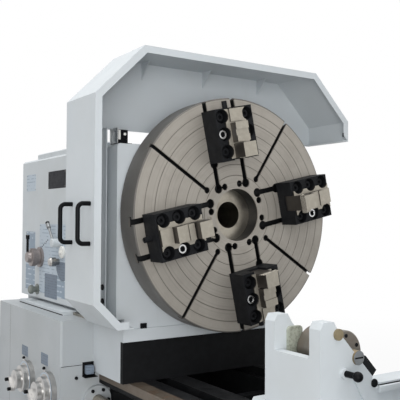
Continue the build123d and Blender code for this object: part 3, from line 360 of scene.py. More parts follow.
def jaw_place(index, outward, across, height):
    """A point over the faceplate, given along and across the line of one jaw, and that line."""
    turn = FACE_TURN + index * pi / 2
    along = Vector((0, cos(turn), sin(turn)))
    side = Vector((0, -sin(turn), cos(turn)))
    return Vector((height, 0, AXIS_HEIGHT)) + along * outward + side * across, along


# Finishes


def add_node(tree, kind, settings=None, inputs=None):
    """A shader node with its settings, its values and its links."""
    made = tree.nodes.new(kind)
    for key, value in (settings or {}).items():
        setattr(made, key, value)
    for key, value in (inputs or {}).items():
        if isinstance(value, bpy.types.NodeSocket):
            tree.links.new(value, made.inputs[key])
        else:
            made.inputs[key].default_value = value
    return made


def new_finish(name, metallic=0.0, specular=0.5):
    """An empty material: its tree, its shader and the object's coordinates."""
    material = bpy.data.materials.new(name)
    material.use_nodes = True
    tree = material.node_tree
    tree.nodes.clear()
    shader = add_node(
        tree, "ShaderNodeBsdfPrincipled", None, {"Metallic": metallic, "Specular IOR Level": specular}
    )
    add_node(tree, "ShaderNodeOutputMaterial", None, {"Surface": shader.outputs["BSDF"]})
    return tree, shader, add_node(tree, "ShaderNodeTexCoord").outputs["Object"]


def spread(tree, place, size_mm, edges=(0.35, 0.65), values=(0.0, 1.0), detail=3.0, stretch=(1.0, 1.0, 1.0)):
    """Noise of a real size in millimetres, cut at two edges and brought to two values."""
    spot = add_node(tree, "ShaderNodeMapping", None, {"Vector": place, "Scale": stretch}).outputs[0]
    noise = add_node(
        tree,
        "ShaderNodeTexNoise",
        None,
        {"Vector": spot, "Scale": 1000.0 / size_mm, "Detail": detail, "Roughness": 0.6},
    ).outputs["Fac"]
    return add_node(
        tree,
        "ShaderNodeMapRange",
        None,
        {"Value": noise, "From Min": edges[0], "From Max": edges[1], "To Min": values[0], "To Max": values[1]},
    ).outputs["Result"]


def finish_with(tree, shader, colour, roughness, height, strength, depth):
    """Links a material's colour, its roughness and its relief of a depth in metres."""
    bump = add_node(tree, "ShaderNodeBump", None, {"Strength": strength, "Distance": depth, "Height": height})
    tree.links.new(colour, shader.inputs["Base Color"])
    tree.links.new(roughness, shader.inputs["Roughness"])
    tree.links.new(bump.outputs["Normal"], shader.inputs["Normal"])


def shade(colour, factor):
    """A colour made darker or lighter."""
    return (*[min(1.0, part * factor) for part in colour[:3]], 1.0)


def enamel(name, colour, dust, gloss=0.42, dusty=0.3):
    """Sprayed machine enamel: an orange peel that softens the light, drifts of grey dust."""
    tree, shader, place = new_finish(name, specular=0.4)
    drifts = spread(tree, place, 620, (0.45, 0.75), (0.0, dusty), 4.0)
    streaks = spread(tree, place, 90, (0.55, 0.8), (0.0, dusty), 5.0, (1.0, 1.0, 0.12))
    dirt = add_node(tree, "ShaderNodeMath", {"operation": "MAXIMUM"}, {0: drifts, 1: streaks}).outputs[0]
    tone = add_node(tree, "ShaderNodeMix", BLEND, {0: dirt, 6: colour, 7: dust}).outputs[2]
    rough = spread(tree, place, 240, values=(gloss, gloss + 0.16))
    # Real orange peel is 2 to 3 mm wide, and is drawn at 6 mm so that it shows.
    peel = spread(tree, place, 6.0, (0.2, 0.8), detail=1.0)
    finish_with(tree, shader, tone, rough, peel, 0.08, 0.0006)


def blackened(name, colour, gloss=0.45, specular=0.1):
    """Oil-blackened steel or black paint: near black, oily in patches, grey where it is rubbed."""
    tree, shader, place = new_finish(name, specular=specular)
    oil = spread(tree, place, 45, (0.4, 0.7), (0.0, 0.6), 4.0)
    rub = spread(tree, place, 14, (0.7, 0.84), (0.0, 0.3), 5.0)
    tone = add_node(tree, "ShaderNodeMix", BLEND, {0: oil, 6: colour, 7: shade(colour, 1.8)}).outputs[2]
    tone = add_node(tree, "ShaderNodeMix", BLEND, {0: rub, 6: tone, 7: shade(colour, 6.0)}).outputs[2]
    rough = spread(tree, place, 60, values=(gloss, gloss + 0.2))
    finish_with(tree, shader, tone, rough, spread(tree, place, 3.0, (0.2, 0.8)), 0.18, 0.0005)


def bare_metal(
    name, colour, stain, rough=0.3, grain_mm=(400.0, 1.2, 1.2), stain_mm=60.0, stained=0.4, metallic=1.0
):
    """Ground or turned metal: lines along the work that draw the light out, an oil film and stains."""
    tree, shader, place = new_finish(name, metallic=metallic)
    # Real grinding lines are finer, and are drawn 1.2 mm or more wide so that they show.
    along = tuple(1.0 / size for size in grain_mm)
    lines = spread(tree, place, 1.0, (0.2, 0.8), detail=2.0, stretch=along)
    stains = spread(tree, place, stain_mm, (0.45, 0.75), (0.0, stained), 5.0)
    dull, bright = shade(colour, 0.84), shade(colour, 1.08)
    tone = add_node(tree, "ShaderNodeMix", BLEND, {0: lines, 6: dull, 7: bright}).outputs[2]
    tone = add_node(tree, "ShaderNodeMix", BLEND, {0: stains, 6: tone, 7: stain}).outputs[2]
    roughness = spread(tree, place, stain_mm, (0.45, 0.75), (rough, rough + 0.2), 5.0)
    finish_with(tree, shader, tone, roughness, lines, 0.12, 0.0004)


def jaw_steel(name, colour, flank):
    """Case-hardened jaw: steps ground bright, flanks brown-black, partly blackened steel and partly painted
    shade.
    """
    tree, shader, place = new_finish(name, metallic=0.55)
    normal = add_node(tree, "ShaderNodeTexCoord").outputs["Normal"]
    facing = add_node(tree, "ShaderNodeSeparateXYZ", None, {"Vector": normal}).outputs["X"]
    # Faces that do not face along +X take the flank colour, so their darkness is partly painted shade.
    ground = add_node(
        tree, "ShaderNodeMapRange", None, {"Value": facing, "From Min": 0.35, "From Max": 0.6}
    ).outputs["Result"]
    stains = spread(tree, place, 24, (0.45, 0.75), (0.9, 1.06), 4.0)
    tone = add_node(tree, "ShaderNodeMix", BLEND, {0: ground, 6: flank, 7: colour}).outputs[2]
    tone = add_node(tree, "ShaderNodeVectorMath", {"operation": "SCALE"}, {0: tone, "Scale": stains}).outputs[0]
    grain = spread(tree, place, 2.0, (0.2, 0.8))
    finish_with(tree, shader, tone, spread(tree, place, 30, values=(0.34, 0.5)), grain, 0.12, 0.0004)


def worn_way(name, worn, rust, oil):
    """Scraped iron ways: the near edge rubbed brown with bright lines, the rest near black, partly old oil and
    partly painted shade.
    """
    tree, shader, place = new_finish(name, metallic=0.35)
    across = add_node(tree, "ShaderNodeSeparateXYZ", None, {"Vector": place}).outputs["Y"]
    stripe = add_node(
        tree, "ShaderNodeMapRange", None, {"Value": across, "From Min": WAY_EDGE[0], "From Max": WAY_EDGE[1]}
    ).outputs["Result"]
    spots = spread(tree, place, 110, (0.6, 0.78), (0.0, 0.9), 5.0)
    rubbed = add_node(tree, "ShaderNodeMix", BLEND, {0: spots, 6: worn, 7: rust}).outputs[2]
    lines = spread(tree, place, 1.0, (0.3, 0.7), (0.8, 1.2), 2.0, (0.002, 0.4, 0.4))
    rubbed = add_node(
        tree, "ShaderNodeVectorMath", {"operation": "SCALE"}, {0: rubbed, "Scale": lines}
    ).outputs[0]
    # Beyond the rubbed edge the near black is old oil with painted shade.
    tone = add_node(tree, "ShaderNodeMix", BLEND, {0: stripe, 6: rubbed, 7: oil}).outputs[2]
    rough = spread(tree, place, 80, values=(0.34, 0.55))
    finish_with(tree, shader, tone, rough, spread(tree, place, 4.0, (0.2, 0.8)), 0.12, 0.0004)


def turned_iron(name, colour, stain_and_groove_shade, painted_rim_reflection, dark, first, pitch, width):
    """Face-turned cast iron: rings of tool marks, painted shade in each ring groove and in the slots and holes,
    and a painted reflection on the rim.
    """
    tree, shader, place = new_finish(name, metallic=0.3)
    parts = add_node(tree, "ShaderNodeSeparateXYZ", None, {"Vector": place}).outputs
    centred = add_node(
        tree, "ShaderNodeVectorMath", {"operation": "SUBTRACT"}, {0: place, 1: (0.0, 0.0, AXIS_HEIGHT)}
    ).outputs[0]
    flat = add_node(
        tree, "ShaderNodeVectorMath", {"operation": "MULTIPLY"}, {0: centred, 1: (0.0, 1.0, 1.0)}
    ).outputs[0]
    reach = add_node(tree, "ShaderNodeVectorMath", {"operation": "LENGTH"}, {0: flat}).outputs["Value"]
    shifted = add_node(
        tree, "ShaderNodeMath", {"operation": "SUBTRACT"}, {0: reach, 1: first - pitch / 2}
    ).outputs[0]
    wrapped = add_node(
        tree, "ShaderNodeMath", {"operation": "PINGPONG"}, {0: shifted, 1: pitch / 2}
    ).outputs[0]
    groove = add_node(
        tree,
        "ShaderNodeMapRange",
        None,
        {"Value": wrapped, "From Min": (pitch - width) / 2, "From Max": pitch / 2 - width * 0.3},
    ).outputs["Result"]
    started = add_node(
        tree, "ShaderNodeMath", {"operation": "GREATER_THAN"}, {0: shifted, 1: 0.0}
    ).outputs[0]
    groove = add_node(tree, "ShaderNodeMath", {"operation": "MULTIPLY"}, {0: groove, 1: started}).outputs[0]
    radius_only = add_node(tree, "ShaderNodeCombineXYZ", None, {"X": reach}).outputs[0]
    # Real tool marks are under 1 mm apart, and are drawn at 9 mm so that they show.
    tool = spread(tree, radius_only, 9.0, (0.25, 0.75), (0.86, 1.12), 3.0)
    stains = spread(tree, place, 150, (0.45, 0.78), (0.0, 0.3), 5.0)
    tone = add_node(
        tree, "ShaderNodeVectorMath", {"operation": "SCALE"}, {0: colour[:3], "Scale": tool}
    ).outputs[0]
    tone = add_node(tree, "ShaderNodeMix", BLEND, {0: stains, 6: tone, 7: stain_and_groove_shade}).outputs[2]
    # Each ring groove is darkened with painted shade.
    tone = add_node(tree, "ShaderNodeMix", BLEND, {0: groove, 6: tone, 7: shade(stain_and_groove_shade, 0.7)}).outputs[2]
    # Slots and holes below the face are darkened with painted shade.
    slot_shade = add_node(
        tree,
        "ShaderNodeMapRange",
        None,
        {"Value": parts["X"], "From Min": SLOT_DEPTHS[0], "From Max": SLOT_DEPTHS[1]},
    ).outputs["Result"]
    tone = add_node(tree, "ShaderNodeMix", BLEND, {0: slot_shade, 6: tone, 7: dark}).outputs[2]
    # The rim's darker grey is a painted reflection of the dark surroundings in its turned metal.
    rim = add_node(
        tree, "ShaderNodeMapRange", None, {"Value": reach, "From Min": RIM_EDGE[0], "From Max": RIM_EDGE[1]}
    ).outputs["Result"]
    tone = add_node(tree, "ShaderNodeMix", BLEND, {0: rim, 6: tone, 7: painted_rim_reflection}).outputs[2]
    relief = add_node(tree, "ShaderNodeMath", {"operation": "MULTIPLY"}, {0: groove, 1: -1.0}).outputs[0]
    finish_with(tree, shader, tone, spread(tree, place, 150, values=(0.4, 0.55)), relief, 0.9, 0.003)


def threaded(name, colour, pitch):
    """Cut screw thread on ground steel: close turns along the bar, each root darkened with painted shade."""
    tree, shader, place = new_finish(name, metallic=0.8)
    along = add_node(tree, "ShaderNodeSeparateXYZ", None, {"Vector": place}).outputs["X"]
    turn = add_node(tree, "ShaderNodeMath", {"operation": "PINGPONG"}, {0: along, 1: pitch / 2}).outputs[0]
    flank = add_node(
        tree, "ShaderNodeMapRange", None, {"Value": turn, "From Min": pitch * 0.15, "From Max": pitch * 0.35}
    ).outputs["Result"]
    # The thread's roots are darkened with painted shade.
    tone = add_node(tree, "ShaderNodeMix", BLEND, {0: flank, 6: shade(colour, 0.35), 7: colour}).outputs[2]
    finish_with(tree, shader, tone, spread(tree, place, 30, values=(0.3, 0.45)), flank, 0.8, 0.003)


def moulded(name, colour, gloss=0.35):
    """Moulded plastic or rubber with a faint grain that breaks up its highlight."""
    tree, shader, place = new_finish(name, specular=0.08)
    tint = spread(tree, place, 25, (0.4, 0.7), (0.0, 0.3))
    tone = add_node(tree, "ShaderNodeMix", BLEND, {0: tint, 6: colour, 7: shade(colour, 1.35)}).outputs[2]
    rough = spread(tree, place, 25, (0.4, 0.7), (gloss, gloss + 0.12))
    grain = spread(tree, place, 1.5, (0.2, 0.8), detail=1.0)
    finish_with(tree, shader, tone, rough, grain, 0.1, 0.0003)


def printed_plate(name, colour, mark, row_mm=16.0, share=0.55, blotch_mm=22.0):
    """Printed aluminium plate: broken rows of pale or dark tone on a plain ground."""
    tree, shader, place = new_finish(name, specular=0.05)
    rise = add_node(tree, "ShaderNodeSeparateXYZ", None, {"Vector": place}).outputs["Z"]
    half, eighth = row_mm / 2000.0, row_mm / 8000.0
    rows = add_node(tree, "ShaderNodeMath", {"operation": "PINGPONG"}, {0: rise, 1: half}).outputs[0]
    row = add_node(tree, "ShaderNodeMath", {"operation": "LESS_THAN"}, {0: rows, 1: eighth}).outputs[0]
    broken = spread(tree, place, blotch_mm, (0.47, 0.53), (0.0, share), 2.0)
    marks = add_node(tree, "ShaderNodeMath", {"operation": "MULTIPLY"}, {0: row, 1: broken}).outputs[0]
    tone = add_node(tree, "ShaderNodeMix", BLEND, {0: marks, 6: colour, 7: mark}).outputs[2]
    wear = spread(tree, place, 40, (0.4, 0.7), (0.34, 0.48), 4.0)
    finish_with(tree, shader, tone, wear, spread(tree, place, 3.0, (0.2, 0.8)), 0.04, 0.0002)


class LATHE_OT_finishes(bpy.types.Operator):
    """Makes every finish and gives each node of the frame its own"""

    bl_idname = "lathe.finishes"
    bl_label = "Finishes"

    def execute(self, context):
        look = context.scene.lathe_finishes
        size = context.scene.lathe_sizes
        tones = {key: tuple(getattr(look, key)) for key in LatheFinishes.__annotations__}
        black = tones["black"]
        pale = tones["enamel"]
        enamel("machine enamel", pale, tones["enamel_dust"])
        enamel("sheet enamel", shade(pale, 1.02), tones["enamel_dust"], 0.36, 0.18)
        # The gearbox's enamel is the machine enamel made darker, as painted shade.
        enamel("gearbox enamel", shade(pale, 0.73), shade(tones["enamel_dust"], 0.9))
        blackened("blackened steel", black)
        # Near black: on the bed's beams and ribs it is painted shade for the deep shade the bed lies in; on the
        # riser's front panel it is partly black paint, partly painted shade.
        blackened("black panel paint", shade(black, 0.6), 0.5, 0.12)
        bare_metal("ground steel", tones["ground"], shade(tones["worn"], 0.8), 0.28)
        roller, pin, satin = hex_colour("#77726A"), hex_colour("#8E8267"), hex_colour("#B4B3B1")
        drum, low_knob, lever = hex_colour("#8D8684"), hex_colour("#767B76"), hex_colour("#85888A")
        fine, coarse = (12.0,) * 3, (30.0,) * 3
        bare_metal("roller steel", roller, tones["rust"], 0.3, (2.5, 300.0, 300.0), stained=0.2, metallic=0.6)
        bare_metal("pin steel", pin, tones["rust"], 0.35, (20.0,) * 3, 18.0, metallic=0.5)
        bare_metal("oily casting", tones["cast"], shade(tones["cast"], 0.25), 0.5, (9.0,) * 3, 14.0, 0.85, 0.1)
        bare_metal("chrome", tones["chrome"], tones["worn"], 0.16, coarse, 40.0, 0.2)
        bare_metal("satin steel", satin, hex_colour("#77767A"), 0.28, (30.0, 3.0, 30.0), 40.0, 0.3)
        bare_metal("drum steel", drum, hex_colour("#6E6766"), 0.36, fine, metallic=0.6)
        bare_metal("low knob steel", low_knob, hex_colour("#5C605C"), 0.38, fine, metallic=0.5)
        bare_metal("lever steel", lever, tones["worn"], 0.32, fine, metallic=0.6)
        bare_metal("bright aluminium", hex_colour("#D5D6D6"), hex_colour("#B7B8B8"), 0.24, (200.0, 2.0, 2.0))
        jaw_steel("jaw steel", tones["ground"], tones["flank"])
        worn_way("worn ways", tones["worn"], tones["rust"], shade(black, 0.9))
        threaded("screw thread", tones["ground"], size.thread_pitch)
        turned_iron(
            "turned iron",
            tones["turned"],
            tones["turned_line"],
            hex_colour("#686561"),
            shade(black, 0.8),
            size.first_groove,
            size.groove_pitch,
            size.groove_width,
        )
        moulded("black plastic", hex_colour("#0D0E10"))
        moulded("white plastic", hex_colour("#DEDEDA"), 0.25)
        moulded("rubber", hex_colour("#1B1B1B"), 0.7)
        printed_plate("mottled plate", hex_colour("#93A1AF"), hex_colour("#C3CDD6"), 34.0, 0.8, 60.0)
        printed_plate("blue plate", tones["panel"], shade(tones["panel"], 0.55))
        printed_plate("black plate", hex_colour("#1A1C21"), hex_colour("#2A2D34"))
        printed_plate("pale plate", hex_colour("#B7C2CC"), hex_colour("#8696A5"), 22.0, 0.7, 50.0)
        named = {
            "machine enamel": [
                "apron", "cross_slide", "headstock_end_cover", "headstock_housing", "headstock_riser",
                "headstock_top_cover", "range_lever", "saddle", "screw_bracket", "steady_bosses", "steady_foot",
                "steady_frame", "steady_levers", "tailstock_base", "tailstock_body", "top_slide",
            ],
            "sheet enamel": ["gearbox_lid", "guard_back", "guard_far_side", "guard_near_side", "guard_roof"],
            "gearbox enamel": ["bearing_flanges", "gearbox_lower", "gearbox_upper"],
            "blackened steel": ["jaw_bodies", "jaw_screws", "steady_bars", "tool_post"],
            "black panel paint": ["bed_front_beam", "bed_rear_beam", "bed_ribs", "riser_front_panel"],
            "ground steel": ["feed_rod", "guard_rails", "spindle", "tailstock_quill"],
            "screw thread": ["lead_screw"],
            "jaw steel": ["stepped_jaw_1", "stepped_jaw_2", "stepped_jaw_3", "stepped_jaw_4"],
            "worn ways": ["bed_ways"],
            "roller steel": ["far_roller", "near_roller"],
            "pin steel": ["roller_axles"],
            "oily casting": ["bearing_blocks"],
            "chrome": ["shiny_knob"],
            "satin steel": ["carriage_handles", "feed_dial_left", "feed_dial_right", "tailstock_wheel"],
            "drum steel": ["speed_drum"],
            "low knob steel": ["low_knob"],
            "turned iron": ["faceplate"],
            "black plastic": ["clamp_knobs", "guard_handles", "guard_switch"],
            "white plastic": ["selector_disc"],
        }
        for finish, names in named.items():
            paint(names, finish)
        left_out = sorted(set(NODES) - {name for names in named.values() for name in names})
        if left_out:
            raise RuntimeError(f"nodes with no finish: {left_out}")
        return {"FINISHED"}


class LATHE_OT_jaws(bpy.types.Operator):
    """Adds the bolts, the rings of painted highlight and the gripping teeth of the four jaws"""

    bl_idname = "lathe.jaws"
    bl_label = "Jaws"

    def execute(self, context):
        bolts, rings = [], []
        head_height, seat = 0.0265, 0.0755
        for index in range(4):
            for outward in JAW_BOLT_ROWS:
                for across in (-JAW_BOLT_SIDE, JAW_BOLT_SIDE):
                    centre, along = jaw_place(index, outward, across, seat)
                    bolts.append((socket_screw(0.022, head_height), stand(centre, RIGHT, along)))
            # The bright ring on one middle bolt of each jaw is a painted highlight of the head's chamfer, not a
            # part.
            across = JAW_BOLT_SIDE * HIGHLIGHT_RING_SIDES[index]
            centre, along = jaw_place(index, JAW_BOLT_ROWS[1], across, seat + head_height)
            rings.append((ring(0.0225, 0.0145, 0.0022), stand(centre, RIGHT, along)))
        make_piece("jaw_bolts", bolts, "blackened steel", "spindle_unit")
        make_piece("jaw_bolt_rings", rings, "bright aluminium", "spindle_unit")
        for index in range(4):
            teeth = []
            for level in range(6):
                centre, along = jaw_place(index, 0.3055, 0, 0.1765 + level * 0.006)
                teeth.append((block(0.108, 0.0034, 0.0022, 0.0007, 1), stand(centre, -along, RIGHT)))
            make_piece(f"jaw_teeth_{index + 1}", teeth, "jaw steel", f"jaw_{index + 1}")
        return {"FINISHED"}


class LATHE_OT_headstock(bpy.types.Operator):
    """Adds the headstock's plates, speed marks and cover screws, the drum's knurls and rod, the lever's rod"""

    bl_idname = "lathe.headstock"
    bl_label = "Headstock"

    def execute(self, context):
        size = context.scene.lathe_sizes
        thick = size.plate_thickness
        # Name, finish, middle X and Z, width and height, and the thickness of the plate under it.
        plates = (
            ("name_plate", "black plate", (-0.976, 1.691, 0.285, 0.107), 0.0),
            ("data_plate", "pale plate", (-1.432, 1.689, 0.176, 0.109), 0.0),
            ("left_control_plate", "mottled plate", (-1.4325, 1.176, 0.175, 0.384), 0.0),
            ("main_control_plate", "pale plate", (-1.036, 1.2035, 0.448, 0.433), 0.0),
            ("feed_chart", "blue plate", (-1.0565, 1.0405, 0.207, 0.147), thick),
            ("thread_chart", "mottled plate", (-0.8845, 1.0485, 0.135, 0.13), thick),
        )
        screws, inset = [], 0.009
        for name, finish, (x, z, width, height), lift in plates:
            plate = rounded_plate(width, height, thick, 0.006)
            place = stand((x, HEAD_NEAR - lift, z), NEAR)
            make_piece(name, [(plate, place)], finish)
            if lift:
                continue
            for side in (-1, 1):
                for level in (-1, 1):
                    corner_x = x + side * (width / 2 - inset)
                    corner_z = z + level * (height / 2 - inset)
                    corner = stand((corner_x, HEAD_NEAR - thick, corner_z), NEAR)
                    screws.append((stud(0.0035, 0.0015, 0.0007, 12), corner))
        make_piece("plate_screws", screws, "chrome")

        scale = stand((SCALE_X, HEAD_NEAR - thick, SCALE_HEIGHT), NEAR)
        make_piece("knob_scale", [(stud(0.113, thick, 0.0002, 48), scale)], "pale plate")
        lower = stand((SCALE_X, HEAD_NEAR - 2 * thick, SCALE_HEIGHT), NEAR)
        make_piece("knob_scale_lower", [(half_disc(0.111, 0.0004), lower)], "blue plate")

        marks = []
        for step in range(6):
            share = step / 5
            spot = (-1.237 + 0.122 * share, HEAD_NEAR - thick, 1.267 + 0.054 * share)
            marks.append((stud(0.005, 0.0012, 0.0004, 16), stand(spot, NEAR)))
        make_piece("speed_marks", marks, "black plastic")

        sleeve = turned([(0.0076, 0), (0.0076, 0.0805), (0.0115, 0.0805), (0.0115, 0.105), (0.0085, 0.108)])
        foot = stand((-1.253, HEAD_NEAR - 0.082, 1.2435), UP, NEAR)
        make_piece("drum_rod_sleeve", [(sleeve, foot)], "black plastic", "drum")
        knurls = []
        for step in range(size.knurl_count):
            turn = tau * step / size.knurl_count
            out = Vector((cos(turn), 0, sin(turn)))
            spot = Vector((DRUM_X, HEAD_NEAR - 0.051, DRUM_HEIGHT)) + out * 0.0547
            knurls.append((block(0.0022, 0.027, 0.0014, 0.0006, 1), stand(spot, out, NEAR)))
        make_piece("drum_knurls", knurls, "drum steel", "drum")

        lean = radians(42)
        aim = Vector((-sin(lean), 0, cos(lean)))
        root = Vector((-0.904, HEAD_NEAR - 0.044, 1.31))
        rod = turned([(0.0075, 0), (0.0075, 0.092), (0.0125, 0.0925), (0.0125, 0.124)])
        rod_place = stand(root + aim * 0.0265, aim, NEAR)
        make_piece("range_lever_rod", [(rod, rod_place)], "lever steel", "lever")
        grip = turned([(0.0127, 0), (0.0127, 0.012), (0.009, 0.0175)])
        grip_place = stand(root + aim * 0.1505, aim, NEAR)
        make_piece("range_lever_grip", [(grip, grip_place)], "black plastic", "lever")

        covers = []
        screw = size.screw_radius
        for step in range(6):
            x = COVER_LOW.x + 0.04 + (COVER_HIGH.x - COVER_LOW.x - 0.08) * step / 5
            for y in (COVER_LOW.y + 0.035, COVER_HIGH.y - 0.035):
                covers.append((socket_screw(screw, 0.003), stand((x, y, COVER_HIGH.z), UP)))
        for step in range(4):
            z = END_LOW.z + 0.05 + (END_HIGH.z - END_LOW.z - 0.1) * step / 3
            for y in (END_LOW.y + 0.04, END_HIGH.y - 0.04):
                covers.append((socket_screw(screw, screw), stand((END_LOW.x, y, z), LEFT)))
        make_piece("cover_screws", covers, "blackened steel")
        clip = [slab((-0.1545, -0.50, 0.8955), (-0.1445, -0.466, 0.922))]
        make_piece("riser_clip", clip, "black plastic")
        return {"FINISHED"}


class LATHE_OT_guard(bpy.types.Operator):
    """Adds the window's edge flange, black discs of painted shade for its two holes, the far side's slot and
    the parts of the limit switch
    """

    bl_idname = "lathe.guard"
    bl_label = "Guard"

    def execute(self, context):
        flange = [slab((-0.350, -0.648, 0.96), (-0.260, -0.642, 1.925))]
        make_piece("window_edge_flange", flange, "sheet enamel", "guard")
        # Two black discs stand for the shade inside the flange's bolt holes: painted shade.
        plugs = []
        for x, z in ((-0.287, 1.102), (-0.285, 1.030)):
            plugs.append((stud(0.015, 0.008, 0.002), stand((x, -0.648, z), NEAR)))
        make_piece("flange_plugs", plugs, "black plastic", "guard")
        plate = [slab((-0.257, -0.631, 1.84), (-0.165, -0.6285, 1.918), 0.0005)]
        make_piece("switch_plate", plate, "bright aluminium")
        strip = [slab((-0.2, -0.610, 1.862), (-0.1985, -0.598, 1.911), 0.0004)]
        strip.append((stud(0.0075, 0.003, 0.001), stand((-0.1932, -0.5765, 1.8905), RIGHT)))
        make_piece("switch_lamp", strip, "white plastic")
        notch = [slab((-0.012, 0.7935, 1.956), (-0.001, 0.7945, 1.980), 0.0003)]
        make_piece("far_side_slot", notch, "rubber", "guard")
        return {"FINISHED"}


class LATHE_OT_gearbox(bpy.types.Operator):
    """Adds the gearbox's labels, seams, cable gland and dial grips, and the screws of the flanges"""

    bl_idname = "lathe.gearbox"
    bl_label = "Gearbox"

    def execute(self, context):
        seal = [slab((-1.439, -0.7012, BOX_TOP), (-0.701, -0.699, BOX_TOP + 0.005), 0.0004)]
        make_piece("lid_seal", seal, "rubber")
        fill = [slab((-1.575, -0.7889, 0.6650), (-0.51, -0.7855, 0.6680), 0.0003)]
        make_piece("seam_filler", fill, "gearbox enamel")
        seam = [slab((-1.3528, -0.7893, 0.19), (-1.3512, -0.788, 0.905), 0.0002)]
        make_piece("cover_seam", seam, "rubber")
        end_line = [slab((BOX_RIGHT - 0.0005, -0.785, 0.6652), (BOX_RIGHT + 0.0006, -0.605, 0.6678), 0.0002)]
        make_piece("end_seam", end_line, "rubber")
        for name, x, z, width, height in (
            ("left_dial_label", -1.0685, 0.662, 0.107, 0.060),
            ("right_dial_label", -0.739, 0.669, 0.108, 0.064),
        ):
            label = rounded_plate(width, height, 0.0009, 0.004)
            make_piece(name, [(label, stand((x, BOX_NEAR, z), NEAR))], "blue plate")
        bracket = [slab((BOX_RIGHT, -0.665, 0.602), (BOX_RIGHT + 0.004, -0.592, 0.680))]
        bracket.append(slab((BOX_RIGHT, -0.665, 0.602), (BOX_RIGHT + 0.04, -0.592, 0.606)))
        make_piece("gland_bracket", bracket, "black plastic")
        gland = [slab((BOX_RIGHT + 0.004, -0.654, 0.618), (BOX_RIGHT + 0.034, -0.610, 0.664), 0.003)]
        make_piece("gland_box", gland, "blue plate")

        aim = Vector((-0.5, 0, 0.866))
        for side, x in DIALS:
            middle = Vector((x, BOX_NEAR, DIAL_HEIGHT))
            knobs = [(ball_knob(0.0095), stand(middle + Vector((0, -0.016, 0)) + aim * 0.112, aim, NEAR))]
            for across in (-0.033, 0.033):
                spot = middle + Vector((-0.03 - across * 0.707, -0.112, -0.03 + across * 0.707))
                knobs.append((stud(0.0105, 0.018, 0.003), stand(spot, NEAR)))
            make_piece(f"dial_grips_{side}", knobs, "black plastic", f"dial_{side}")
            scale = [(ring(0.0975, 0.0885, 0.0008, 48, 0.0002), stand(middle + Vector((0, -0.0316, 0)), NEAR))]
            make_piece(f"dial_scale_{side}", scale, "pale plate", f"dial_{side}")

        heads, circle = [], 0.062
        for step in range(6):
            turn = tau * step / 6
            spot = (FLANGE_X, FLANGE_Y + circle * cos(turn), FLANGE_HEIGHT + circle * sin(turn))
            heads.append((socket_screw(0.009, 0.009), stand(spot, RIGHT)))
        for y in (-0.70, -0.54):
            for z in (0.22, 0.60):
                heads.append((socket_screw(0.009, 0.009), stand((BOX_RIGHT, y, z), RIGHT)))
        make_piece("flange_screws", heads, "blackened steel")
        return {"FINISHED"}


class LATHE_OT_steady(bpy.types.Operator):
    """Adds the roller screws, the axle ends, the plugs and the ledge of the roller steady"""

    bl_idname = "lathe.steady"
    bl_label = "Roller steady"

    def execute(self, context):
        circle = 0.066
        for name, y in (("near", -AXLE_SIDE), ("far", AXLE_SIDE)):
            screws = []
            for angle in (84, 26, 174, 294):
                turn = radians(angle)
                spot = (1.172, y + circle * cos(turn), AXLE_HEIGHT + circle * sin(turn))
                screws.append((socket_screw(0.007, 0.0025), stand(spot, RIGHT)))
            make_piece(f"{name}_roller_screws", screws, "blackened steel", f"roller_{name}")
        slots, caps, half = [], [], 0.8 * AXLE_RADIUS
        for y in (-AXLE_SIDE, AXLE_SIDE):
            caps.append((stud(AXLE_RADIUS, 0.0006, 0.0003), stand((AXLE_END, y, AXLE_HEIGHT), RIGHT)))
            slots.append(slab((1.2412, y - half, 0.9752), (1.2419, y + half, 0.9808), 0.0002))
        plugs = []
        for y in (-0.308, 0.308):
            plugs.append((stud(0.015, 0.006, 0.002), stand((STEADY_RIGHT, y, 0.88), RIGHT)))
        make_piece("axle_ends", caps, "lever steel")
        make_piece("axle_slots", slots, "rubber")
        make_piece("frame_plugs", plugs, "black plastic")
        ledge = [slab((STEADY_RIGHT, -0.29, 0.845), (STEADY_RIGHT + 0.012, 0.29, 0.868), 0.002)]
        make_piece("frame_ledge", ledge, "machine enamel")
        line = [slab((STEADY_RIGHT, -0.29, 0.868), (STEADY_RIGHT + 0.0012, 0.29, 0.872), 0.0003)]
        make_piece("frame_ledge_seal", line, "rubber")
        return {"FINISHED"}


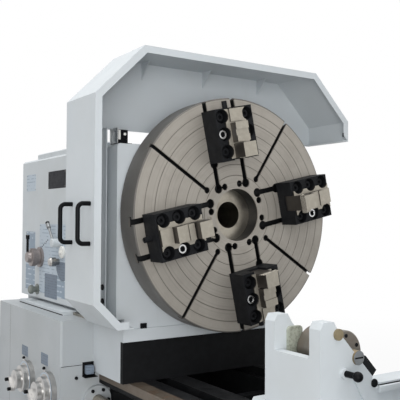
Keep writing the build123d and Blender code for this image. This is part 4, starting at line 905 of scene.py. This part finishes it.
class LATHE_OT_carriage(bpy.types.Operator):
    """Adds the wipers, screws and grips of the carriage and the clamps of the tailstock"""

    bl_idname = "lathe.carriage"
    bl_label = "Carriage and tailstock"

    def execute(self, context):
        wipers = []
        for left in (SADDLE_LOW.x - 0.006, SADDLE_HIGH.x):
            for near, far in ((-0.56, -0.42), (0.42, 0.56)):
                wipers.append(slab((left, near, 0.626), (left + 0.006, far, 0.662), 0.002))
        make_piece("way_wipers", wipers, "rubber")

        middle = (POST_LOW + POST_HIGH) / 2
        reach = (POST_HIGH.x - POST_LOW.x) / 2 - 0.026
        screws = []
        for step in range(3):
            across = (step - 1) * 0.055
            for x, y in ((across, reach), (across, -reach), (reach, across), (-reach, across)):
                if abs(x) < 0.05 and abs(y) < 0.05:
                    continue
                top = (middle.x + x, middle.y + y, POST_HIGH.z)
                screws.append((nut(0.0095, 0.024, 4), stand(top, UP)))
        make_piece("tool_post_screws", screws, "ground steel")

        wheel = Vector((1.69, SADDLE_LOW.y - 0.046, 0.45))
        crank = Vector((CROSS_X, CROSS_Y - 0.105, CROSS_HEIGHT - 0.095))
        post = Vector((CROSS_X, -0.43, POST_HIGH.z + 0.034))
        aim = Vector((0.5, -0.6, 0.62)).normalized()
        wheel_grip = turned([(0.0125, 0), (0.015, 0.03), (0.0125, 0.066), (0.008, 0.07)])
        crank_grip = turned([(0.0148, 0), (0.0165, 0.03), (0.0148, 0.066), (0.009, 0.07)])
        grips = [
            (wheel_grip, stand(wheel + UP * 0.13 + NEAR * 0.012, NEAR)),
            (crank_grip, stand(crank + NEAR * 0.012, NEAR)),
            (ball_knob(0.022), stand(post + aim * 0.176, aim, NEAR)),
        ]
        make_piece("carriage_grips", grips, "black plastic")
        dial = [(ring(0.036, 0.0202, 0.03), stand((CROSS_X, CROSS_Y, CROSS_HEIGHT), NEAR))]
        make_piece("cross_slide_dial", dial, "chrome")

        clamps = []
        for x in (TAIL_LOW.x + 0.12, TAIL_HIGH.x - 0.12):
            for y in (TAIL_LOW.y + 0.023, TAIL_HIGH.y - 0.023):
                clamps.append((ring(0.022, 0.01, 0.003), stand((x, y, TAIL_HIGH.z), UP)))
                clamps.append((nut(0.0185, 0.02), stand((x, y, TAIL_HIGH.z + 0.003), UP)))
        make_piece("tailstock_clamp_nuts", clamps, "blackened steel")
        lever = [lever_arm((2.36, 0, 1.66), (2.32, -0.16, 1.78), 0.011, 0.016, 0.06)]
        lever.append((stud(0.034, 0.03, 0.004), stand((2.36, 0, 1.655), UP)))
        make_piece("quill_clamp_lever", lever, "black plastic")
        tail_grip = turned([(0.011, 0), (0.016, 0.03), (0.014, 0.07), (0.008, 0.076)])
        tail_place = stand((2.95, -0.165, 1.575), RIGHT)
        make_piece("tail_wheel_grip", [(tail_grip, tail_place)], "black plastic")
        return {"FINISHED"}


def direct_rays(tree):
    """1 for rays from the camera, a glossy face or a clear one, and 0 for the light that falls on things."""
    path = add_node(tree, "ShaderNodeLightPath").outputs
    seen = add_node(
        tree, "ShaderNodeMath", {"operation": "MAXIMUM"}, {0: path["Is Camera Ray"], 1: path["Is Glossy Ray"]}
    ).outputs[0]
    return add_node(
        tree, "ShaderNodeMath", {"operation": "MAXIMUM"}, {0: seen, 1: path["Is Transmission Ray"]}
    ).outputs[0]


def floor_finish(colour):
    """Matt studio floor: it keeps a soft shadow near the lathe and is seen white further off."""
    tree, shader, place = new_finish("studio floor", specular=0.1)
    shader.inputs["Base Color"].default_value = colour
    shader.inputs["Roughness"].default_value = 0.7
    glow = add_node(tree, "ShaderNodeEmission", None, {"Color": (1, 1, 1, 1), "Strength": 1.0})
    away = add_node(tree, "ShaderNodeVectorMath", {"operation": "LENGTH"}, {0: place}).outputs["Value"]
    fade = add_node(
        tree,
        "ShaderNodeMapRange",
        None,
        {"Value": away, "From Min": 2.0, "From Max": 7.0, "To Min": 0.9, "To Max": 1.0},
    ).outputs["Result"]
    share = add_node(
        tree, "ShaderNodeMath", {"operation": "MULTIPLY"}, {0: direct_rays(tree), 1: fade}
    ).outputs[0]
    blend = add_node(
        tree,
        "ShaderNodeMixShader",
        None,
        {0: share, 1: shader.outputs["BSDF"], 2: glow.outputs["Emission"]},
    )
    tree.links.new(blend.outputs["Shader"], tree.nodes["Material Output"].inputs["Surface"])


def make_floor(scene):
    """The studio floor, a wide disc at Z 0."""
    floor_finish(tuple(scene.lathe_finishes.floor))
    form = bmesh.new()
    bmesh.ops.create_circle(form, cap_ends=True, segments=96, radius=40.0)
    mesh = bpy.data.meshes.new("floor")
    form.to_mesh(mesh)
    form.free()
    floor = bpy.data.objects.new("floor", mesh)
    scene.collection.objects.link(floor)
    mesh.materials.append(bpy.data.materials["studio floor"])


def make_world(scene):
    """A white background whose light on the lathe is held down."""
    world = bpy.data.worlds.new("studio")
    world.use_nodes = True
    scene.world = world
    tree = world.node_tree
    tree.nodes.clear()
    strength = add_node(
        tree, "ShaderNodeMapRange", None, {"Value": direct_rays(tree), "To Min": 0.40, "To Max": 1.0}
    ).outputs["Result"]
    back = add_node(tree, "ShaderNodeBackground", None, {"Color": (1, 1, 1, 1), "Strength": strength})
    add_node(tree, "ShaderNodeOutputWorld", None, {"Surface": back.outputs[0]})


def make_lamps(scene):
    """The square soft lamps."""
    for name, place, target, width, power in LAMPS:
        lamp = bpy.data.lights.new(name, "AREA")
        lamp.shape = "SQUARE"
        lamp.size = width
        lamp.energy = power
        holder = bpy.data.objects.new(name, lamp)
        scene.collection.objects.link(holder)
        holder.matrix_world = stand(place, Vector(place) - Vector(target))


def make_camera(scene):
    """The camera at eye height, with its turn made from yaw, pitch and roll."""
    lens = bpy.data.cameras.new("camera")
    lens.sensor_width = SENSOR_MM
    lens.lens = LENS_PIXELS / PICTURE_PIXELS * SENSOR_MM
    lens.clip_start = 0.05
    lens.clip_end = 200.0
    camera = bpy.data.objects.new("camera", lens)
    scene.collection.objects.link(camera)
    flat = cos(CAMERA_PITCH)
    ahead = Vector((-cos(CAMERA_YAW) * flat, sin(CAMERA_YAW) * flat, sin(CAMERA_PITCH)))
    level_right = ahead.cross(UP).normalized()
    level_up = level_right.cross(ahead)
    right = cos(CAMERA_ROLL) * level_right + sin(CAMERA_ROLL) * level_up
    upward = -sin(CAMERA_ROLL) * level_right + cos(CAMERA_ROLL) * level_up
    turn = Matrix((right, upward, -ahead)).transposed().to_4x4()
    camera.matrix_world = Matrix.Translation(CAMERA_PLACE) @ turn
    scene.camera = camera


class LATHE_OT_stage(bpy.types.Operator):
    """Makes the floor, the pale background, the lamps and the camera"""

    bl_idname = "lathe.stage"
    bl_label = "Stage"

    def execute(self, context):
        scene = context.scene
        make_floor(scene)
        make_world(scene)
        make_lamps(scene)
        make_camera(scene)
        scene.view_settings.view_transform = "Standard"
        return {"FINISHED"}


class LATHE_PT_panel(bpy.types.Panel):
    """Lists the lathe's steps and settings"""

    bl_idname = "LATHE_PT_panel"
    bl_label = "Lathe"
    bl_space_type = "VIEW_3D"
    bl_region_type = "UI"
    bl_category = "Lathe"

    def draw(self, context):
        column = self.layout.column()
        for operator in STEPS:
            column.operator(operator.bl_idname)
        for group in (context.scene.lathe_finishes, context.scene.lathe_sizes):
            for key in type(group).__annotations__:
                column.prop(group, key)


STEPS = (
    LATHE_OT_finishes,
    LATHE_OT_jaws,
    LATHE_OT_headstock,
    LATHE_OT_guard,
    LATHE_OT_gearbox,
    LATHE_OT_steady,
    LATHE_OT_carriage,
    LATHE_OT_stage,
)
CLASSES = (LatheFinishes, LatheSizes, *STEPS, LATHE_PT_panel)


def register():
    for part in CLASSES:
        bpy.utils.register_class(part)
    bpy.types.Scene.lathe_finishes = PointerProperty(type=LatheFinishes)
    bpy.types.Scene.lathe_sizes = PointerProperty(type=LatheSizes)


def unregister():
    del bpy.types.Scene.lathe_sizes
    del bpy.types.Scene.lathe_finishes
    for part in reversed(CLASSES):
        bpy.utils.unregister_class(part)


def main():
    register()
    for step in STEPS:
        group, name = step.bl_idname.split(".")
        getattr(getattr(bpy.ops, group), name)()


if __name__ == "__main__":
    main()
